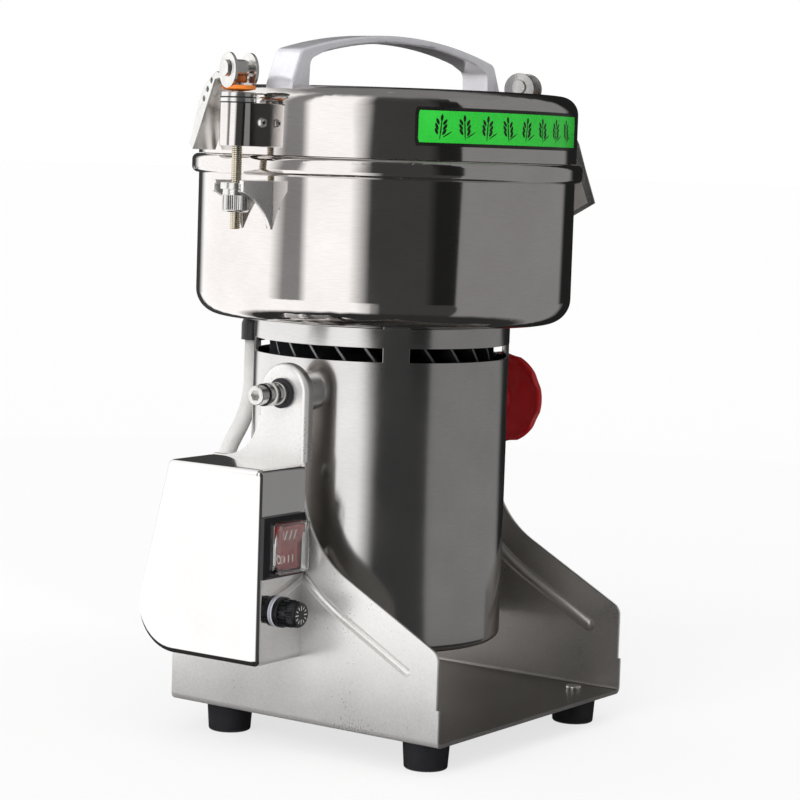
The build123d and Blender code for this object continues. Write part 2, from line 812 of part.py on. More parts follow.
# --- head: motor tube --------------------------------------------------------------------------
with BuildPart() as motor_housing:
    # deep-drawn cup with a rounded foot; its lower opening takes the cover
    with BuildSketch(Plane.XZ) as profile:
        with BuildLine():
            Polyline(
                (tube_opening_radius, tube_bottom),
                (tube_radius, tube_bottom),
                (tube_radius, bowl_bottom),
                (tube_inner, bowl_bottom),
                (tube_inner, tube_bottom + tube_wall),
                (tube_opening_radius, tube_bottom + tube_wall),
                close=True,
            )
        make_face()
        fillet(nearest(profile.vertices(), tube_radius, tube_bottom), tube_foot_radius)
        fillet(nearest(profile.vertices(), tube_inner, tube_bottom + tube_wall), tube_foot_radius - tube_wall)
    revolve(axis=Axis.Z)
    # air slots under and over the collar, bridged by the posts
    with BuildSketch(Plane.XY.offset(vent_bottom), Plane.XY.offset(collar_top)):
        Circle(tube_radius + 1)
        Circle(tube_inner - 1, mode=Mode.SUBTRACT)
        with PolarLocations(tube_radius, post_count, start_angle=post_azimuth - 90):
            Rectangle(tube_radius, post_width, mode=Mode.SUBTRACT)
    extrude(amount=vent_height, mode=Mode.SUBTRACT)

with BuildPart() as housing_cover:
    with BuildSketch(Plane.XY.offset(tube_bottom + tube_wall)):
        Circle(cover_radius)
        with PolarLocations(cover_slot_circle, cover_slot_count):
            SlotOverall(cover_slot_length, cover_slot_width, mode=Mode.SUBTRACT)
        with PolarLocations(cover_screw_circle, 4, start_angle=45):
            Circle(cover_screw_radius, mode=Mode.SUBTRACT)
    extrude(amount=cover_sheet)

with BuildPart() as cover_screws:
    with BuildSketch(Plane.XY.offset(tube_bottom - cover_screw_head_height)):
        with PolarLocations(cover_screw_circle, 4, start_angle=45):
            Circle(cover_screw_head_radius)
    extrude(amount=cover_screw_head_height)
    fillet(cover_screws.edges().group_by(Axis.Z)[0], cover_screw_head_height * 0.45)
    with BuildSketch(Plane.XY.offset(tube_bottom)):
        with PolarLocations(cover_screw_circle, 4, start_angle=45):
            Circle(cover_screw_radius)
    extrude(amount=tube_wall + cover_sheet)

with BuildPart() as cover_screw_holes:
    with BuildSketch(Plane.XY.offset(tube_bottom)):
        with PolarLocations(cover_screw_circle, 4, start_angle=45):
            Circle(cover_screw_radius)
    extrude(amount=tube_wall)

# --- head: pivot bosses, bolts and washers -----------------------------------------------------
pivot_plane = Plane(origin=(0, pivot_y, pivot_z), x_dir=(0, 1, 0), z_dir=(1, 0, 0))

with BuildPart() as pivot_bosses:
    # welded to the tube on both sides; the right one carries the disc that the lock screw presses on
    with BuildSketch(pivot_plane.offset(-boss_face)):
        Circle(boss_radius)
    extrude(amount=2 * boss_face)
    with BuildSketch(pivot_plane.offset(lock_disc_x - lock_disc_thickness)):
        Circle(lock_disc_radius)
    extrude(amount=lock_disc_thickness)
    with BuildSketch(pivot_plane.offset(-boss_face)):
        Circle(pivot_bolt_radius)
    extrude(amount=2 * boss_face, mode=Mode.SUBTRACT)
    Cylinder(tube_radius, 2 * pivot_z, mode=Mode.SUBTRACT, align=(Align.CENTER, Align.CENTER, Align.MIN))

with BuildPart() as pivot_bolts:
    # left: socket-head bolt over a stack of spacers; right: low button head behind the lock knob
    left_seat = bolt_seat + pivot_washer_thickness + pivot_spacer_length
    right_seat = bolt_seat + pivot_washer_thickness
    with BuildSketch(pivot_plane.offset(-left_seat)):
        Circle(pivot_socket_radius)
    extrude(amount=-pivot_socket_height)
    fillet(pivot_bolts.edges().sort_by(Axis.X)[0], 0.7)
    with BuildSketch(pivot_plane.offset(-left_seat - pivot_socket_height)):
        RegularPolygon(pivot_hex_radius, 6)
    extrude(amount=pivot_hex_depth, mode=Mode.SUBTRACT)
    with BuildSketch(pivot_plane.offset(right_seat)):
        Circle(pivot_washer_radius - 0.8)
    extrude(amount=pivot_button_height)
    fillet(pivot_bolts.edges().sort_by(Axis.X)[-1], pivot_button_height * 0.7)
    with BuildSketch(pivot_plane.offset(-left_seat)):
        Circle(pivot_bolt_radius)
    extrude(amount=left_seat - tube_radius)
    with BuildSketch(pivot_plane.offset(right_seat)):
        Circle(pivot_bolt_radius)
    extrude(amount=-(right_seat - tube_radius))

with BuildPart() as pivot_washers:
    with BuildSketch(pivot_plane.offset(-bolt_seat)):
        Circle(pivot_washer_radius)
    extrude(amount=-pivot_washer_thickness)
    with BuildSketch(pivot_plane.offset(-bolt_seat - pivot_washer_thickness)):
        Circle(pivot_spacer_radius)
    extrude(amount=-pivot_spacer_length)
    with BuildSketch(pivot_plane.offset(bolt_seat)):
        Circle(pivot_washer_radius)
    extrude(amount=pivot_washer_thickness)
    with BuildSketch(pivot_plane.offset(-box_x)):
        Circle(pivot_bolt_radius)
    extrude(amount=2 * box_x, mode=Mode.SUBTRACT)

# --- head: bowl --------------------------------------------------------------------------------
with BuildPart() as grinding_bowl:
    # deep-drawn bowl with a rounded lower edge and a rolled bead at its rim
    with BuildSketch(Plane.XZ) as profile:
        with BuildLine():
            Polyline(
                (bowl_hole_radius, bowl_bottom),
                (bowl_radius, bowl_bottom),
                (bowl_radius, bowl_rim - bead_height),
                (bead_radius, bowl_rim - bead_height),
                (bead_radius, bowl_rim),
                (bowl_inner, bowl_rim),
                (bowl_inner, bowl_floor),
                (bowl_hole_radius, bowl_floor),
                close=True,
            )
        make_face()
        fillet(nearest(profile.vertices(), bowl_radius, bowl_bottom), bowl_corner_radius)
        fillet(nearest(profile.vertices(), bowl_inner, bowl_floor), bowl_corner_radius - bowl_wall)
        fillet(nearest(profile.vertices(), bead_radius, bowl_rim - bead_height), bead_round)
        fillet(nearest(profile.vertices(), bead_radius, bowl_rim), bead_round)
    revolve(axis=Axis.Z)
    with BuildSketch(Plane.XY.offset(bowl_bottom)):
        with PolarLocations(bowl_screw_circle, 4, start_angle=45):
            Circle(bowl_screw_radius)
    extrude(amount=bowl_wall, mode=Mode.SUBTRACT)

bowl_screw = screw(bowl_screw_head_radius, bowl_screw_head_height, bowl_screw_radius, bowl_screw_length)
with BuildPart() as bowl_screws:
    for turn in (45, 135, 225, 315):
        place = (bowl_screw_circle * cos(radians(turn)), bowl_screw_circle * sin(radians(turn)), bowl_floor)
        with Locations(place):
            add(bowl_screw)

with BuildPart() as shaft_seal:
    with BuildSketch(Plane.XY.offset(bowl_floor)):
        Circle(seal_radius)
    extrude(amount=seal_height, taper=20)
    with BuildSketch(Plane.XY.offset(bowl_bottom)):
        Circle(bowl_hole_radius)
    extrude(amount=bowl_wall)
    with BuildSketch(Plane.XY.offset(bowl_bottom)):
        Circle(shaft_radius + running_gap)
    extrude(amount=bowl_wall + seal_height, mode=Mode.SUBTRACT)

with BuildPart() as bowl_brackets:
    # top plate with an open notch for the rod and its nut, and a gusset under each side
    for side in latch_angles:
        with BuildSketch(level_plane(side, bracket_top)):
            with Locations((bracket_reach, 0)):
                Rectangle(
                    bracket_reach + rod_to_bowl + weld_overlap,
                    2 * bracket_half_width,
                    align=(Align.MAX, Align.CENTER),
                )
        extrude(amount=-bracket_sheet)
        with BuildSketch(radial_plane(side)):
            with BuildLine():
                ThreePointArc(
                    (bracket_reach, bracket_top - bracket_sheet - bracket_lip),
                    (bracket_hollow[0], bracket_top - bracket_hollow[1]),
                    (bracket_foot_gap - rod_to_bowl, bracket_top - bracket_drop),
                )
                Polyline(
                    (bracket_foot_gap - rod_to_bowl, bracket_top - bracket_drop),
                    (-rod_to_bowl - weld_overlap, bracket_top - bracket_drop),
                    (-rod_to_bowl - weld_overlap, bracket_top - bracket_sheet / 2),
                    (bracket_reach, bracket_top - bracket_sheet / 2),
                    (bracket_reach, bracket_top - bracket_sheet - bracket_lip),
                )
            make_face()
        extrude(amount=bracket_half_width, both=True)
        with BuildSketch(level_plane(side, bracket_top - bracket_sheet)):
            Rectangle(2 * latch_circle, 2 * (bracket_half_width - bracket_sheet))
        extrude(amount=-bracket_drop, mode=Mode.SUBTRACT)
        with BuildSketch(level_plane(side, bracket_top)):
            Circle(bracket_notch)
            Rectangle(2 * bracket_reach + 2, 2 * bracket_notch, align=(Align.MIN, Align.CENTER))
        extrude(amount=-bracket_sheet, mode=Mode.SUBTRACT)
    Cylinder(bowl_radius, 2 * bowl_rim, mode=Mode.SUBTRACT, align=(Align.CENTER, Align.CENTER, Align.MIN))

# --- head: motor -------------------------------------------------------------------------------
with BuildPart() as upper_bracket:
    with BuildSketch(Plane.XY.offset(collar_top - upper_bracket_thickness - 4)):
        Circle(tube_inner)
        with PolarLocations(bowl_screw_circle + 4, 4):
            Circle(bowl_boss_radius + 2, mode=Mode.SUBTRACT)
    extrude(amount=upper_bracket_thickness)
    with BuildSketch(Plane.XY.offset(bowl_bottom - bearing_height)):
        Circle(bearing_hub_radius)
        with PolarLocations(bowl_screw_circle, 4, start_angle=45):
            Circle(bowl_boss_radius)
    extrude(amount=bearing_height)
    with BuildSketch(Plane.XY.offset(bowl_bottom - bearing_height)):
        Circle(bearing_radius)
        with PolarLocations(bowl_screw_circle, 4, start_angle=45):
            Circle(bowl_screw_radius)
    extrude(amount=bearing_height, mode=Mode.SUBTRACT)

with BuildPart() as lower_bracket:
    with BuildSketch(Plane.XY.offset(lower_bracket_bottom)):
        Circle(tube_inner)
        Circle(tube_inner - 6, mode=Mode.SUBTRACT)
        Rectangle(2 * tube_inner - 4, spoke_width)
        Rectangle(spoke_width, 2 * tube_inner - 4)
    extrude(amount=lower_bracket_thickness)
    with BuildSketch(Plane.XY.offset(lower_bracket_bottom + lower_bracket_thickness - bearing_height)):
        Circle(bearing_hub_radius)
    extrude(amount=bearing_height)
    with BuildSketch(Plane.XY.offset(lower_bracket_bottom + lower_bracket_thickness - bearing_height)):
        Circle(bearing_radius)
    extrude(amount=bearing_height, mode=Mode.SUBTRACT)

with BuildPart() as bearings:
    lower_seat = lower_bracket_bottom + lower_bracket_thickness - bearing_height
    with BuildSketch(Plane.XY.offset(lower_seat), Plane.XY.offset(bowl_bottom - bearing_height)):
        Circle(bearing_radius)
        Circle(shaft_radius + running_gap, mode=Mode.SUBTRACT)
    extrude(amount=bearing_height)

with BuildPart() as motor_stator:
    # laminated ring with two flats for the air, and two field coils at each end
    with BuildSketch(Plane.XY.offset(stator_bottom)):
        Circle(tube_inner)
        Rectangle(2 * tube_inner, 2 * stator_flat, mode=Mode.INTERSECT)
        Circle(stator_bore, mode=Mode.SUBTRACT)
    extrude(amount=stator_height)
    with BuildSketch(Plane.XY.offset(stator_bottom - coil_rise)):
        Circle(coil_outer)
        Circle(stator_bore + 2, mode=Mode.SUBTRACT)
        Rectangle(2 * coil_outer, stator_bore, mode=Mode.SUBTRACT)
    extrude(amount=stator_height + 2 * coil_rise)

with BuildPart() as brush_holders:
    # two insulated blocks on the lower bracket, each with a slide for its carbon brush
    block_top = commutator_bottom + commutator_height - 3
    block_middle = commutator_bottom + commutator_height / 2
    for turn in (-1, 1):
        with BuildSketch(Plane.XY.offset(lower_bracket_bottom + lower_bracket_thickness)):
            with Locations((0, turn * (brush_block_inner + brush_block_outer) / 2)):
                Rectangle(brush_block, brush_block_outer - brush_block_inner)
        extrude(amount=block_top - lower_bracket_bottom - lower_bracket_thickness)
    with BuildSketch(Plane.XZ.offset(-brush_block_outer)):
        with Locations((0, block_middle)):
            Rectangle(brush_width, brush_height)
    extrude(amount=2 * brush_block_outer, mode=Mode.SUBTRACT)

with BuildPart() as carbon_brushes:
    for turn in (-1, 1):
        with Locations((0, turn * (commutator_radius + body_gap + brush_length / 2), block_middle)):
            Box(brush_width, brush_length, brush_height)

# --- rotor: shaft, armature, commutator and fan ------------------------------------------------
with BuildPart() as rotor_shaft:
    with BuildSketch(Plane.XY.offset(shaft_bottom)):
        Circle(shaft_radius)
    extrude(amount=blade_seat - shaft_bottom)
    with BuildSketch(Plane.XY.offset(blade_seat)):
        Circle(blade_shaft_radius)
    extrude(amount=shaft_top - blade_seat)
    chamfer(rotor_shaft.edges().sort_by(Axis.Z)[-1], 1.0)

with BuildPart() as armature_core:
    armature_bottom = stator_bottom + (stator_height - armature_height) / 2
    with BuildSketch(Plane.XY.offset(armature_bottom)):
        Circle(armature_radius)
        with PolarLocations(armature_radius, slot_count):
            Rectangle(2 * slot_radius, slot_mouth, mode=Mode.SUBTRACT)
        with PolarLocations(armature_radius - slot_radius - 2, slot_count):
            Circle(slot_radius, mode=Mode.SUBTRACT)
        Circle(shaft_radius, mode=Mode.SUBTRACT)
    extrude(amount=armature_height)
    with BuildSketch(Plane.XY.offset(armature_bottom - coil_rise)):
        Circle(winding_radius)
        Circle(shaft_radius, mode=Mode.SUBTRACT)
    extrude(amount=armature_height + 2 * coil_rise)
    ends = armature_core.edges().filter_by(GeomType.CIRCLE).group_by(Axis.Z)
    fillet([ends[0].sort_by(SortBy.RADIUS)[-1], ends[-1].sort_by(SortBy.RADIUS)[-1]], 5.0)

with BuildPart() as commutator:
    with BuildSketch(Plane.XY.offset(commutator_bottom)):
        Circle(commutator_radius)
        with PolarLocations(commutator_radius, 2 * slot_count):
            Rectangle(2.0, 0.8, mode=Mode.SUBTRACT)
        Circle(shaft_radius, mode=Mode.SUBTRACT)
    extrude(amount=commutator_height)

fan_height = fan_top - fan_bottom

with BuildPart() as fan_blades:
    # ring of tilted blades, cut level with the disc, the fan's top and its rim
    with PolarLocations((fan_radius + fan_hub_radius) / 2, fan_blade_count):
        with Locations(Location((0, 0, (fan_top + fan_bottom) / 2), (fan_blade_pitch, 0, 0))):
            Box(fan_radius - fan_hub_radius + 4, fan_blade_sheet, 2 * fan_height)
    with BuildSketch(Plane.XY.offset(fan_bottom)):
        Circle(fan_radius)
    extrude(amount=fan_height, mode=Mode.INTERSECT)

with BuildPart() as cooling_fan:
    # pressed disc that carries the blades under the bowl
    with BuildSketch(Plane.XY.offset(fan_bottom)):
        Circle(fan_radius)
    extrude(amount=fan_plate)
    with BuildSketch(Plane.XY.offset(fan_bottom)):
        Circle(fan_hub_radius)
    extrude(amount=fan_height - 2)
    add(fan_blades.part)
    with BuildSketch(Plane.XY.offset(fan_bottom)):
        Circle(shaft_radius)
    extrude(amount=fan_height, mode=Mode.SUBTRACT)

# --- rotor: blades -----------------------------------------------------------------------------
def swing_blade(name, height):
    """A bar blade on the shaft with bevelled leading edges; its tips may be bent up."""
    half = blade_spans[name] / 2
    rise = blade_tip_rises[name]
    bend = half - blade_tip_length
    with BuildPart() as blade:
        with BuildSketch(Plane.XZ):
            with BuildLine():
                Polyline(
                    (-half, height + rise),
                    (-bend, height),
                    (bend, height),
                    (half, height + rise),
                    (half, height + rise + blade_sheet),
                    (bend, height + blade_sheet),
                    (-bend, height + blade_sheet),
                    (-half, height + rise + blade_sheet),
                    close=True,
                )
            make_face()
        extrude(amount=blade_width / 2, both=True)
        # one leading corner of each tip is cut back, the same way round on both ends
        with BuildSketch(Plane.XY.offset(height)):
            Rectangle(2 * half, blade_width)
            for turn in (0, 180):
                with Locations(Location((0, 0, 0), (0, 0, turn))):
                    with Locations((half, blade_width / 2)):
                        Rectangle(2 * blade_bevel, 2 * blade_bevel, rotation=60, mode=Mode.SUBTRACT)
            Circle(blade_shaft_radius, mode=Mode.SUBTRACT)
        extrude(amount=rise + blade_sheet, mode=Mode.INTERSECT)
    return blade.part.rotate(Axis.Z, blade_turns[name])


blade_pitch = blade_sheet + spacer_height
blades = {name: swing_blade(name, blade_seat + k * blade_pitch) for k, name in enumerate(blade_spans)}
blade_nut_seat = blade_seat + 2 * blade_pitch + blade_sheet

with BuildPart() as blade_spacers:
    spacer_seats = (blade_seat + blade_sheet, blade_nut_seat - blade_pitch)
    with BuildSketch(*[Plane.XY.offset(seat) for seat in spacer_seats]):
        Circle(spacer_radius)
        Circle(blade_shaft_radius, mode=Mode.SUBTRACT)
    extrude(amount=spacer_height)

with BuildPart() as blade_nut:
    with BuildSketch(Plane.XY.offset(blade_nut_seat)):
        RegularPolygon(blade_nut_radius, 6)
        Circle(blade_shaft_radius, mode=Mode.SUBTRACT)
    extrude(amount=blade_nut_height)
    with BuildSketch(Plane.XY.offset(blade_nut_seat)):
        Circle(blade_nut_radius)
    extrude(amount=blade_nut_height, taper=12, mode=Mode.INTERSECT)

# --- motor lead --------------------------------------------------------------------------------
gland_y = (tube_radius + gland_radius) * cos(radians(15))
gland_x = -(tube_radius + gland_radius) * sin(radians(15))

with BuildPart() as lead_gland:
    # elbow gland on the collar: the lead leaves it downwards
    with BuildSketch(Plane.XY.offset(gland_top - gland_height)):
        with Locations((gland_x, gland_y)):
            Circle(gland_radius)
    extrude(amount=gland_height)
    fillet(lead_gland.edges().sort_by(Axis.Z)[-1], gland_radius * 0.8)
    with BuildSketch(Plane.XY.offset(gland_top - gland_height / 2)):
        with Locations(Location((0, 0, 0), (0, 0, 105))):
            Rectangle(tube_radius + gland_radius, 1.4 * gland_radius, align=(Align.MIN, Align.CENTER))
    extrude(amount=gland_height / 4)
    with BuildSketch(Plane.XY.offset(gland_top - gland_height)):
        Circle(tube_radius)
        with Locations((gland_x, gland_y)):
            Circle(lead_radius)
    extrude(amount=gland_height / 2, mode=Mode.SUBTRACT)
    with BuildSketch(Plane.XY.offset(gland_top - gland_height)):
        Circle(tube_radius)
    extrude(amount=gland_height, mode=Mode.SUBTRACT)

lead_points = [
    (gland_x, gland_y, gland_top - gland_height / 2),
    (gland_x, gland_y, 164.0),
    (-31.0, 81.0, 135.0),
    (-43.0, 76.0, 90.0),
    (-62.0, lead_end[1], lead_end[2]),
    lead_end,
]
lead_runs = [Vector(*b) - Vector(*a) for a, b in zip(lead_points, lead_points[1:])]
lead_bends = []
for before, after in zip(lead_runs, lead_runs[1:]):
    half_turn = radians(before.get_angle(after)) / 2
    lead_bends.append(0.45 * min(before.length, after.length) / tan(half_turn))
print("motor lead bend radii:", [round(bend, 1) for bend in lead_bends])

with BuildPart() as motor_lead:
    with BuildLine() as route:
        FilletPolyline(*lead_points, radius=lead_bends)
    with BuildSketch(Plane(origin=route.line @ 0, z_dir=route.line % 0)):
        Circle(lead_radius)
    sweep(path=route.line)

# --- lid ---------------------------------------------------------------------------------------
def lid_form(top, radius, corner):
    """Turned body of the lid's outer or inner surface, down to its rim."""
    across, drop = dome_middle(radius, lid_dome)
    with BuildPart() as form:
        with BuildSketch(Plane.XZ) as profile:
            with BuildLine():
                Polyline((0, top + lid_dome), (0, lid_bottom), (radius, lid_bottom), (radius, top))
                ThreePointArc((radius, top), (across, top + lid_dome + drop), (0, top + lid_dome))
            make_face()
            fillet(nearest(profile.vertices(), radius, top), corner)
        revolve(axis=Axis.Z)
    return form.part


lid_outside = lid_form(lid_shoulder, lid_radius, lid_corner_radius)
lid_inside = lid_form(lid_shoulder - lid_wall, lid_inner, lid_corner_radius - lid_wall)

with BuildPart() as lid:
    add(lid_outside)
    add(lid_inside, mode=Mode.SUBTRACT)
    with BuildSketch(Plane.XY.offset(lid_shoulder - 4)):
        with Locations((-handle_screw_x, 0), (handle_screw_x, 0)):
            Circle(handle_screw_radius)
    extrude(amount=8, mode=Mode.SUBTRACT)

with BuildPart() as lid_gasket:
    with BuildSketch(Plane.XZ) as profile:
        with BuildLine():
            Polyline(
                (lid_inner, lid_bottom),
                (lid_inner, lid_bottom + gasket_grip),
                (lid_inner - 1, lid_bottom + gasket_grip + 1),
                (bowl_inner - gasket_wall, lid_bottom + gasket_grip + 1),
                (bowl_inner - gasket_wall, lid_bottom - gasket_drop),
                (bowl_inner - 1.5, lid_bottom - gasket_drop),
                (bowl_inner - body_gap, lid_bottom - gasket_drop + 1.5),
                (bowl_inner - body_gap, lid_bottom),
                close=True,
            )
        make_face()
    revolve(axis=Axis.Z)

with BuildPart() as carry_handle:
    # cast arch along X: square feet on the lid's rounded edge, flat-bottomed crown
    with BuildSketch(Plane.XZ) as arch:
        with BuildLine():
            Polyline(
                (handle_foot_outer, lid_shoulder - 4),
                (handle_foot_outer - 0.5, lid_shoulder + 3),
                (handle_knee_outer, handle_knee_z),
            )
            ThreePointArc(
                (handle_knee_outer, handle_knee_z),
                (0, handle_crown_z),
                (-handle_knee_outer, handle_knee_z),
            )
            Polyline(
                (-handle_knee_outer, handle_knee_z),
                (0.5 - handle_foot_outer, lid_shoulder + 3),
                (-handle_foot_outer, lid_shoulder - 4),
                (-handle_foot_inner, lid_shoulder - 4),
                (-handle_under_knee_x - 8, handle_under_knee_z - 3),
                (-handle_under_knee_x, handle_under_knee_z),
            )
            ThreePointArc(
                (-handle_under_knee_x, handle_under_knee_z),
                (0, handle_under_z),
                (handle_under_knee_x, handle_under_knee_z),
            )
            Polyline(
                (handle_under_knee_x, handle_under_knee_z),
                (handle_under_knee_x + 8, handle_under_knee_z - 3),
                (handle_foot_inner, lid_shoulder - 4),
                (handle_foot_outer, lid_shoulder - 4),
            )
        make_face()
        for x in (-1, 1):
            fillet(nearest(arch.vertices(), x * handle_knee_outer, handle_knee_z), 6.0)
            fillet(nearest(arch.vertices(), x * (handle_under_knee_x + 8), handle_under_knee_z - 3), 5.0)
    extrude(amount=handle_width / 2, both=True)
    rims = carry_handle.faces().sort_by(Axis.Y)[0].edges() + carry_handle.faces().sort_by(Axis.Y)[-1].edges()
    fillet(rims.filter_by_position(Axis.Z, handle_under_knee_z, handle_crown_z + 1), handle_edge_radius)
    add(lid_outside, mode=Mode.SUBTRACT)
    with BuildSketch(Plane.XY.offset(lid_shoulder - 6)):
        with Locations((-handle_screw_x, 0), (handle_screw_x, 0)):
            Circle(handle_screw_radius)
    extrude(amount=handle_screw_length + 5, mode=Mode.SUBTRACT)

with BuildPart() as handle_screws:
    with BuildSketch(Plane.XY.offset(lid_shoulder - lid_wall - 0.2)):
        with Locations((-handle_screw_x, 0), (handle_screw_x, 0)):
            Circle(handle_screw_head_radius)
    extrude(amount=-handle_screw_head_height)
    fillet(handle_screws.edges().group_by(Axis.Z)[0], handle_screw_head_height * 0.45)
    with BuildSketch(Plane.XY.offset(lid_shoulder - lid_wall - 0.2)):
        with Locations((-handle_screw_x, 0), (handle_screw_x, 0)):
            Circle(handle_screw_radius)
    extrude(amount=handle_screw_length)

# --- lid latches -------------------------------------------------------------------------------
inner_yoke = yoke_radius - yoke_wall
washer_seats = [yoke_top + sum(seat_washer_heights[:k]) for k in range(len(seat_washer_heights))]

with BuildPart() as latch_yokes:
    # U-straps round the rods, welded to the lid's wall
    for side in latch_angles:
        with BuildSketch(level_plane(side, yoke_bottom)):
            Circle(yoke_radius)
            Rectangle(rod_to_lid + weld_overlap, 2 * yoke_radius, align=(Align.MAX, Align.CENTER))
            Circle(inner_yoke, mode=Mode.SUBTRACT)
            Rectangle(2 * latch_circle, 2 * inner_yoke, align=(Align.MAX, Align.CENTER), mode=Mode.SUBTRACT)
        extrude(amount=yoke_top - yoke_bottom)
    add(lid_outside, mode=Mode.SUBTRACT)

with BuildPart() as latch_lugs:
    # blocks on the lid's wall between the sides of each strap
    for side in latch_angles:
        with BuildSketch(level_plane(side, lug_bottom)):
            with Locations((lug_reach - rod_to_lid, 0)):
                Rectangle(lug_reach + weld_overlap, 2 * inner_yoke, align=(Align.MAX, Align.CENTER))
        extrude(amount=lug_top - lug_bottom)
    add(lid_outside, mode=Mode.SUBTRACT)

with BuildPart() as yoke_washers:
    for seat, radius, height in zip(washer_seats, seat_washer_radii, seat_washer_heights):
        with BuildSketch(*[level_plane(side, seat) for side in latch_angles]):
            Circle(radius)
        extrude(amount=height)
        fillet(yoke_washers.edges().group_by(Axis.Z)[-1], 0.5)
    with BuildSketch(*[level_plane(side, yoke_top) for side in latch_angles]):
        Circle(seat_washer_bore)
    extrude(amount=sum(seat_washer_heights), mode=Mode.SUBTRACT)

with BuildPart() as yoke_rivets:
    for side in latch_angles:
        with BuildSketch(radial_plane(side)):
            with Locations((rivet_inset - rod_to_lid, rivet_z)):
                Circle(rivet_radius)
        extrude(amount=yoke_radius, both=True)
        for turn in (-1, 1):
            with BuildSketch(radial_plane(side).offset(turn * yoke_radius)):
                with Locations((rivet_inset - rod_to_lid, rivet_z)):
                    Circle(rivet_head_radius)
            extrude(amount=turn * rivet_head_height, taper=25)

with BuildPart() as rivet_holes:
    for side in latch_angles:
        with BuildSketch(radial_plane(side)):
            with Locations((rivet_inset - rod_to_lid, rivet_z)):
                Circle(rivet_radius)
        extrude(amount=yoke_radius, both=True)


def seat_cup(side):
    """Moulded saddle under a lever's cam: domed below, with a trough above along the cam's axis."""
    angle = latch_angles[side] + lever_twist[side]
    with BuildPart() as cup:
        with BuildSketch(level_plane(side, cup_bottom)):
            Circle(cup_radius)
        extrude(amount=cup_height)
        with Locations(rod_place(side, cup_bottom + cup_dome)):
            Sphere(cup_dome, mode=Mode.INTERSECT)
        with BuildSketch(lever_plane(side)):
            with Locations((0, trough_bottom + cup_trough_radius)):
                Circle(cup_trough_radius)
        extrude(amount=2 * cup_radius, both=True, mode=Mode.SUBTRACT)
        with BuildSketch(level_plane(side, cup_bottom)):
            Circle(rod_radius + running_gap)
        extrude(amount=cup_height, mode=Mode.SUBTRACT)
    return cup.part


def latch_rod(side):
    """Rod with an eye for the cam pin at its upper end."""
    with BuildPart() as rod:
        with BuildSketch(level_plane(side, rod_end)):
            Circle(rod_radius)
        extrude(amount=cam_axis_z - rod_end)
        chamfer(rod.edges().sort_by(Axis.Z)[0], 0.6)
        with BuildSketch(lever_plane(side)):
            with Locations((0, cam_axis_z)):
                Circle(eye_radius)
        extrude(amount=eye_half_width, both=True)
        with BuildSketch(lever_plane(side)):
            with Locations((0, cam_axis_z)):
                Circle(cam_pin_radius)
        extrude(amount=2 * eye_half_width, both=True, mode=Mode.SUBTRACT)
    return rod.part


def cam_pin(side):
    """Pin through the rod's eye and the lever's plates, with a flat head at each end."""
    reach = cam_half_width + body_gap
    with BuildPart() as pin:
        with BuildSketch(lever_plane(side)):
            with Locations((0, cam_axis_z)):
                Circle(cam_pin_radius)
        extrude(amount=reach, both=True)
        for turn in (-1, 1):
            with BuildSketch(lever_plane(side).offset(turn * reach)):
                with Locations((0, cam_axis_z)):
                    Circle(cam_pin_head_radius)
            extrude(amount=turn * cam_pin_head_height, taper=20)
    return pin.part


def latch_lever(side):
    """Pressed lever: two cam plates and, between their front edges, a web."""
    hang = radians(lever_hang[side])

    def place(point):
        along = lever_length[side] * point[0]
        across = point[1]
        return (along * sin(hang) + across * cos(hang), cam_axis_z - along * cos(hang) + across * sin(hang))

    lower_edge = (*lever_front, (1.0, lever_tip[side]))
    front = [place(point) for point in lower_edge]
    back = [place(point) for point in lever_back]
    web_back = [place((share, across + lever_web)) for share, across in reversed(lower_edge)]
    with BuildPart() as lever:
        with BuildSketch(lever_plane(side)):
            with Locations((0, cam_centre_z)):
                Circle(cam_radius)
            with BuildLine():
                Polyline((2, cam_axis_z - 4), *front, *back, close=True)
            make_face()
            with Locations(*[place(point) for point in lever_holes]):
                Circle(lever_hole_radius, mode=Mode.SUBTRACT)
        extrude(amount=cam_half_width, both=True)
        with BuildSketch(lever_plane(side)):
            with Locations((0, cam_axis_z)):
                Rectangle(400, 400)
        extrude(amount=cam_face, both=True, mode=Mode.SUBTRACT)
        with BuildSketch(lever_plane(side)):
            with BuildLine():
                Polyline(*front, *web_back, close=True)
            make_face()
        extrude(amount=cam_half_width, both=True)
        with BuildSketch(lever_plane(side)):
            with Locations((0, cam_axis_z)):
                Circle(cam_pin_radius + running_gap)
        extrude(amount=2 * cam_half_width, both=True, mode=Mode.SUBTRACT)
    return lever.part


def latch_nut(side):
    """Knurled nut with a flange on top, on the rod's threaded end."""
    with BuildPart() as nut:
        with BuildSketch(level_plane(side, nut_bottom)):
            Circle(nut_radius)
        extrude(amount=nut_top - nut_bottom)
        chamfer(nut.edges().sort_by(Axis.Z)[0], 0.8)
        with BuildSketch(level_plane(side, nut_top)):
            Circle(nut_flange_radius)
        extrude(amount=-nut_flange_thickness)
        with BuildSketch(level_plane(side, nut_bottom)):
            Circle(rod_radius + running_gap)
        extrude(amount=nut_top - nut_bottom, mode=Mode.SUBTRACT)
    return nut.part


# --- holes shared between pieces ---------------------------------------------------------------
drilled = {
    "base_channel": base_channel.part - plate_holes.part,
    "motor_housing": motor_housing.part - cover_screw_holes.part,
    "latch_yokes": latch_yokes.part - rivet_holes.part,
    "latch_lugs": latch_lugs.part - rivet_holes.part,
}

